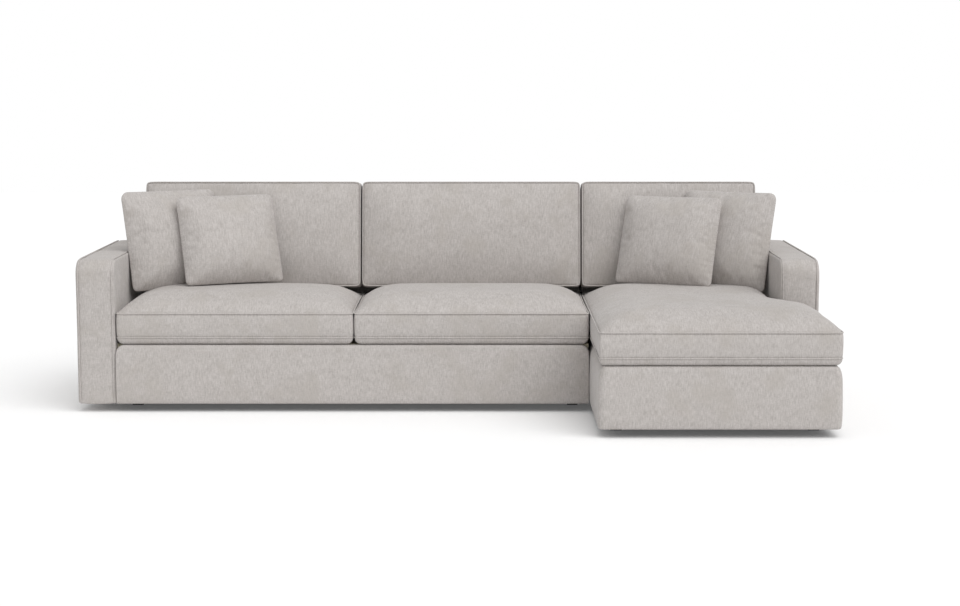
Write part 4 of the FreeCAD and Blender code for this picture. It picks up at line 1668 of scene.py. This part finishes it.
@dataclass
class Backs:
    """The outside and inside backs of the two modules."""

    room: Workroom
    base_top: float = 0.281
    skin: float = 0.003
    top_depth: float = 0.108
    front_round: float = 0.014
    rear_round: float = 0.012

    def build(self) -> None:
        """Make both backs."""
        for seed, module in enumerate(("sofa", "chaise"), start=81):
            low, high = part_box(f"{module}_back_cover")
            foot, top_front = low.y, high.y - self.top_depth
            slope = (top_front - foot) / (high.z - self.base_top)
            skin_line = high.y - self.skin

            def lean(a: float, b: float) -> tuple[float, float]:
                """Rake the inside back, with the rear upright.

                Args:
                    a: place across the back.
                    b: height.

                Returns:
                    The raked place.
                """
                share = (high.y - a) / (high.y - foot)
                rise = max(0.0, b - self.base_top) * slope
                return high.y - share * (high.y - foot - rise), b

            outline = Outline(foot, high.y, low.z, high.z, 0.0, 0.0, self.front_round, self.rear_round)
            back = SideForm(
                f"{module}_back",
                self.room,
                outline,
                low.x,
                high.x - low.x,
                edge=0.008,
                ring_cell=0.035,
                panel_bulge=0.0,
                left_out=lambda a, b: b < self.base_top and a < skin_line,
                lean=lean,
                extra=(skin_line,),
                extra_along=(self.base_top, high.z - self.front_round),
                seed=seed,
            )
            back.make("frame", [f"{module}_back_cover"])


@dataclass
class Bases:
    """The padded borders under the seats."""

    room: Workroom
    top: float = 0.281
    bottom: float = 0.0345
    sofa_corner: float = 0.033
    chaise_corner: float = 0.025
    cell: float = 0.03
    corner_steps: int = 8

    def build(self) -> None:
        """Make both borders."""
        low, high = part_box("sofa_base_cover")
        corners = [(low.x, low.y), (high.x, low.y)]

        def sofa_style(across: float, distance: float) -> tuple:
            """Straight front whose top corners are rounded.

            Args:
                across: share of the normal along X.
                distance: distance to the nearer end.

            Returns:
                Drop, width and height of the rounded edge, and bulge.
            """
            left = max(0.0, self.sofa_corner - distance)
            drop = self.sofa_corner - math.sqrt(self.sofa_corner**2 - left**2)
            return drop, 0.011, 0.014, 0.004

        path = border_path(corners, 0.0, self.cell, sofa_style)
        path = self.thicken(path, low.x, high.x, low.y, sofa_style)
        Border("sofa_base", self.room, path, self.bottom, self.top).make("frame", ["sofa_base_cover"])
        low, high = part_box("chaise_base_cover")
        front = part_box("left_arm_cover")[0].y
        corners = [(low.x, high.y), (low.x, low.y), (high.x, low.y), (high.x, front)]

        def chaise_style(across: float, distance: float) -> tuple:
            """Sides rounded deeply at the top, the front less so.

            Args:
                across: share of the normal along X.
                distance: distance to the nearer end.

            Returns:
                Drop, width and height of the rounded edge, and bulge.
            """
            return 0.0, 0.012 + 0.012 * across, 0.020 + 0.045 * across, 0.0045 - 0.003 * across

        path = border_path(corners, self.chaise_corner, self.cell, chaise_style)
        Border("chaise_base", self.room, path, self.bottom, self.top).make("frame", ["chaise_base_cover"])

    def thicken(
        self, path: list, left: float, right: float, front: float, style: Callable[[float, float], tuple]
    ) -> list:
        """Put more stations at the ends of the sofa border, where its corners are round.

        Args:
            path: evenly spaced stations.
            left: place of the left end.
            right: place of the right end.
            front: place of the front along Y.
            style: gives drop, rounding and bulge.

        Returns:
            The new stations.
        """
        turns = [math.pi / 2 * i / self.corner_steps for i in range(self.corner_steps + 1)]
        ends = [left + self.sofa_corner * (1 - math.cos(turn)) for turn in turns]
        clear = 0.04
        between = [place[0][0] for place in path if left + clear < place[0][0] < right - clear]
        stations = ends + between + [right - (x - left) for x in reversed(ends)]
        return [((x, front), (0.0, -1.0), *style(0.0, min(x - left, right - x))) for x in stations]


@dataclass
class Innards:
    """Finishes of the CAD nodes that stay: frame, boards, webbing, pads, feet and fixings."""

    def build(self, frame: dict) -> None:
        """Give every CAD node its finish.
        """
        finishes = {
            Slot.FRAME_WOOD: SawnWood(),
            Slot.PANEL_BOARD: FleckedBoard(),
            Slot.WEBBING: WovenBand(
                "webbing", (0.10, 0.09, 0.085, 1.0), (0.03, 0.028, 0.026, 1.0), pitch=300.0
            ),
            Slot.DUST_CLOTH: WovenBand("dust_cloth", (0.035, 0.035, 0.036, 1.0), (0.012, 0.012, 0.013, 1.0)),
            Slot.FOAM: CellFoam(),
            Slot.FIBRE: BondedFibre(),
            Slot.FOOT_PLASTIC: MouldedPlastic(),
            Slot.STEEL: ZincSteel(),
        }
        made = {slot.value: finish.material() for slot, finish in finishes.items()}
        subparts = {part["node"]: part["material_slot"] for part in frame["record"]["subparts"]}
        for name, node in frame["nodes"].items():
            slot = subparts[name]
            if slot not in made:
                continue
            if not node.data.materials:
                node.data.materials.append(made[slot])
            for i in range(len(node.data.materials)):
                node.data.materials[i] = made[slot]
            log.info("node %s: %s", name, slot)


@dataclass
class Studio:
    """Pale floor, soft daylight and the photograph's viewpoint."""

    camera_at: Point = (0.1345, -8.2258, 1.4303)
    camera_pitch: float = 6.895
    lens: float = 73.58
    sun: float = 1.80
    sun_width: float = 62.0
    sun_turn: tuple = (33.0, 26.0)
    sky: float = 0.61
    glow: float = 0.085
    white: tuple = (1.0, 1.0, 1.0, 1.0)
    floor_tones: tuple = ((0.90, 0.90, 0.90, 1.0), (0.93, 0.93, 0.93, 1.0))
    floor_half: float = 14.0
    film_width: float = 36.0
    farthest: float = 200.0

    def build(self) -> None:
        """Make the floor, the lights and the camera."""
        self.floor()
        self.lights()
        self.camera()
        bpy.context.scene.view_settings.view_transform = "Standard"

    def floor(self) -> None:
        """Pale floor that keeps the shadow and turns white where it is lit."""
        half = self.floor_half
        corners = [(-half, -half, 0.0), (half, -half, 0.0), (half, half, 0.0), (-half, half, 0.0)]
        plane = make_object("floor", corners, [(0, 1, 2, 3)])
        g = Graph("pale_floor")
        place, _ = g.place()
        tone = g.noise(place, 3.0, 3.0, 0.5)
        g.fill(g.shader.inputs["Base Color"], g.tint(tone, *self.floor_tones))
        g.fill(g.shader.inputs["Roughness"], g.blend(tone, 0.85, 0.95))
        g.set(Specular_IOR_Level=0.1)
        glow = g.add("Emission", self.white, g.math("MULTIPLY", g.seen(), self.glow))
        both = g.add("AddShader", g.shader.outputs[0], glow.outputs[0])
        g.fill(g.output.inputs[0], both.outputs[0])
        plane.data.materials.append(g.material)

    def lights(self) -> None:
        """Soft sky all round and one broad sun from the upper right."""
        world = bpy.data.worlds.new("studio")
        bpy.context.scene.world = world
        tree = Tree(world)
        plain, white = [tree.add("Background", self.white, power).outputs[0] for power in (self.sky, 1.0)]
        tree.add("OutputWorld", tree.add("MixShader", tree.seen(), plain, white).outputs[0])
        lamp = bpy.data.lights.new("sun", "SUN")
        lamp.energy = self.sun
        lamp.angle = math.radians(self.sun_width)
        sun = bpy.data.objects.new("sun", lamp)
        sun.rotation_euler = (*[math.radians(turn) for turn in self.sun_turn], 0.0)
        bpy.context.scene.collection.objects.link(sun)

    def camera(self) -> None:
        """Camera at the photograph's viewpoint."""
        data = bpy.data.cameras.new("camera")
        data.sensor_width = self.film_width
        data.lens = self.lens
        data.clip_end = self.farthest
        camera = bpy.data.objects.new("camera", data)
        camera.location = self.camera_at
        camera.rotation_euler = (math.radians(90 - self.camera_pitch), 0.0, 0.0)
        bpy.context.scene.collection.objects.link(camera)
        bpy.context.scene.camera = camera


def main() -> None:
    """Build the sofa round the CAD frame."""
    logging.basicConfig(level=logging.INFO, format="%(name)s: %(message)s")
    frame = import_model()
    Studio().build()
    room = Workroom(HeatheredLinen().material())
    for row in (SeatRow(room), BackRow(room), PillowRow(room), Arms(room), Backs(room), Bases(room)):
        row.build()
    Innards().build(frame)
    bpy.context.view_layer.update()


if __name__ == "__main__":
    main()
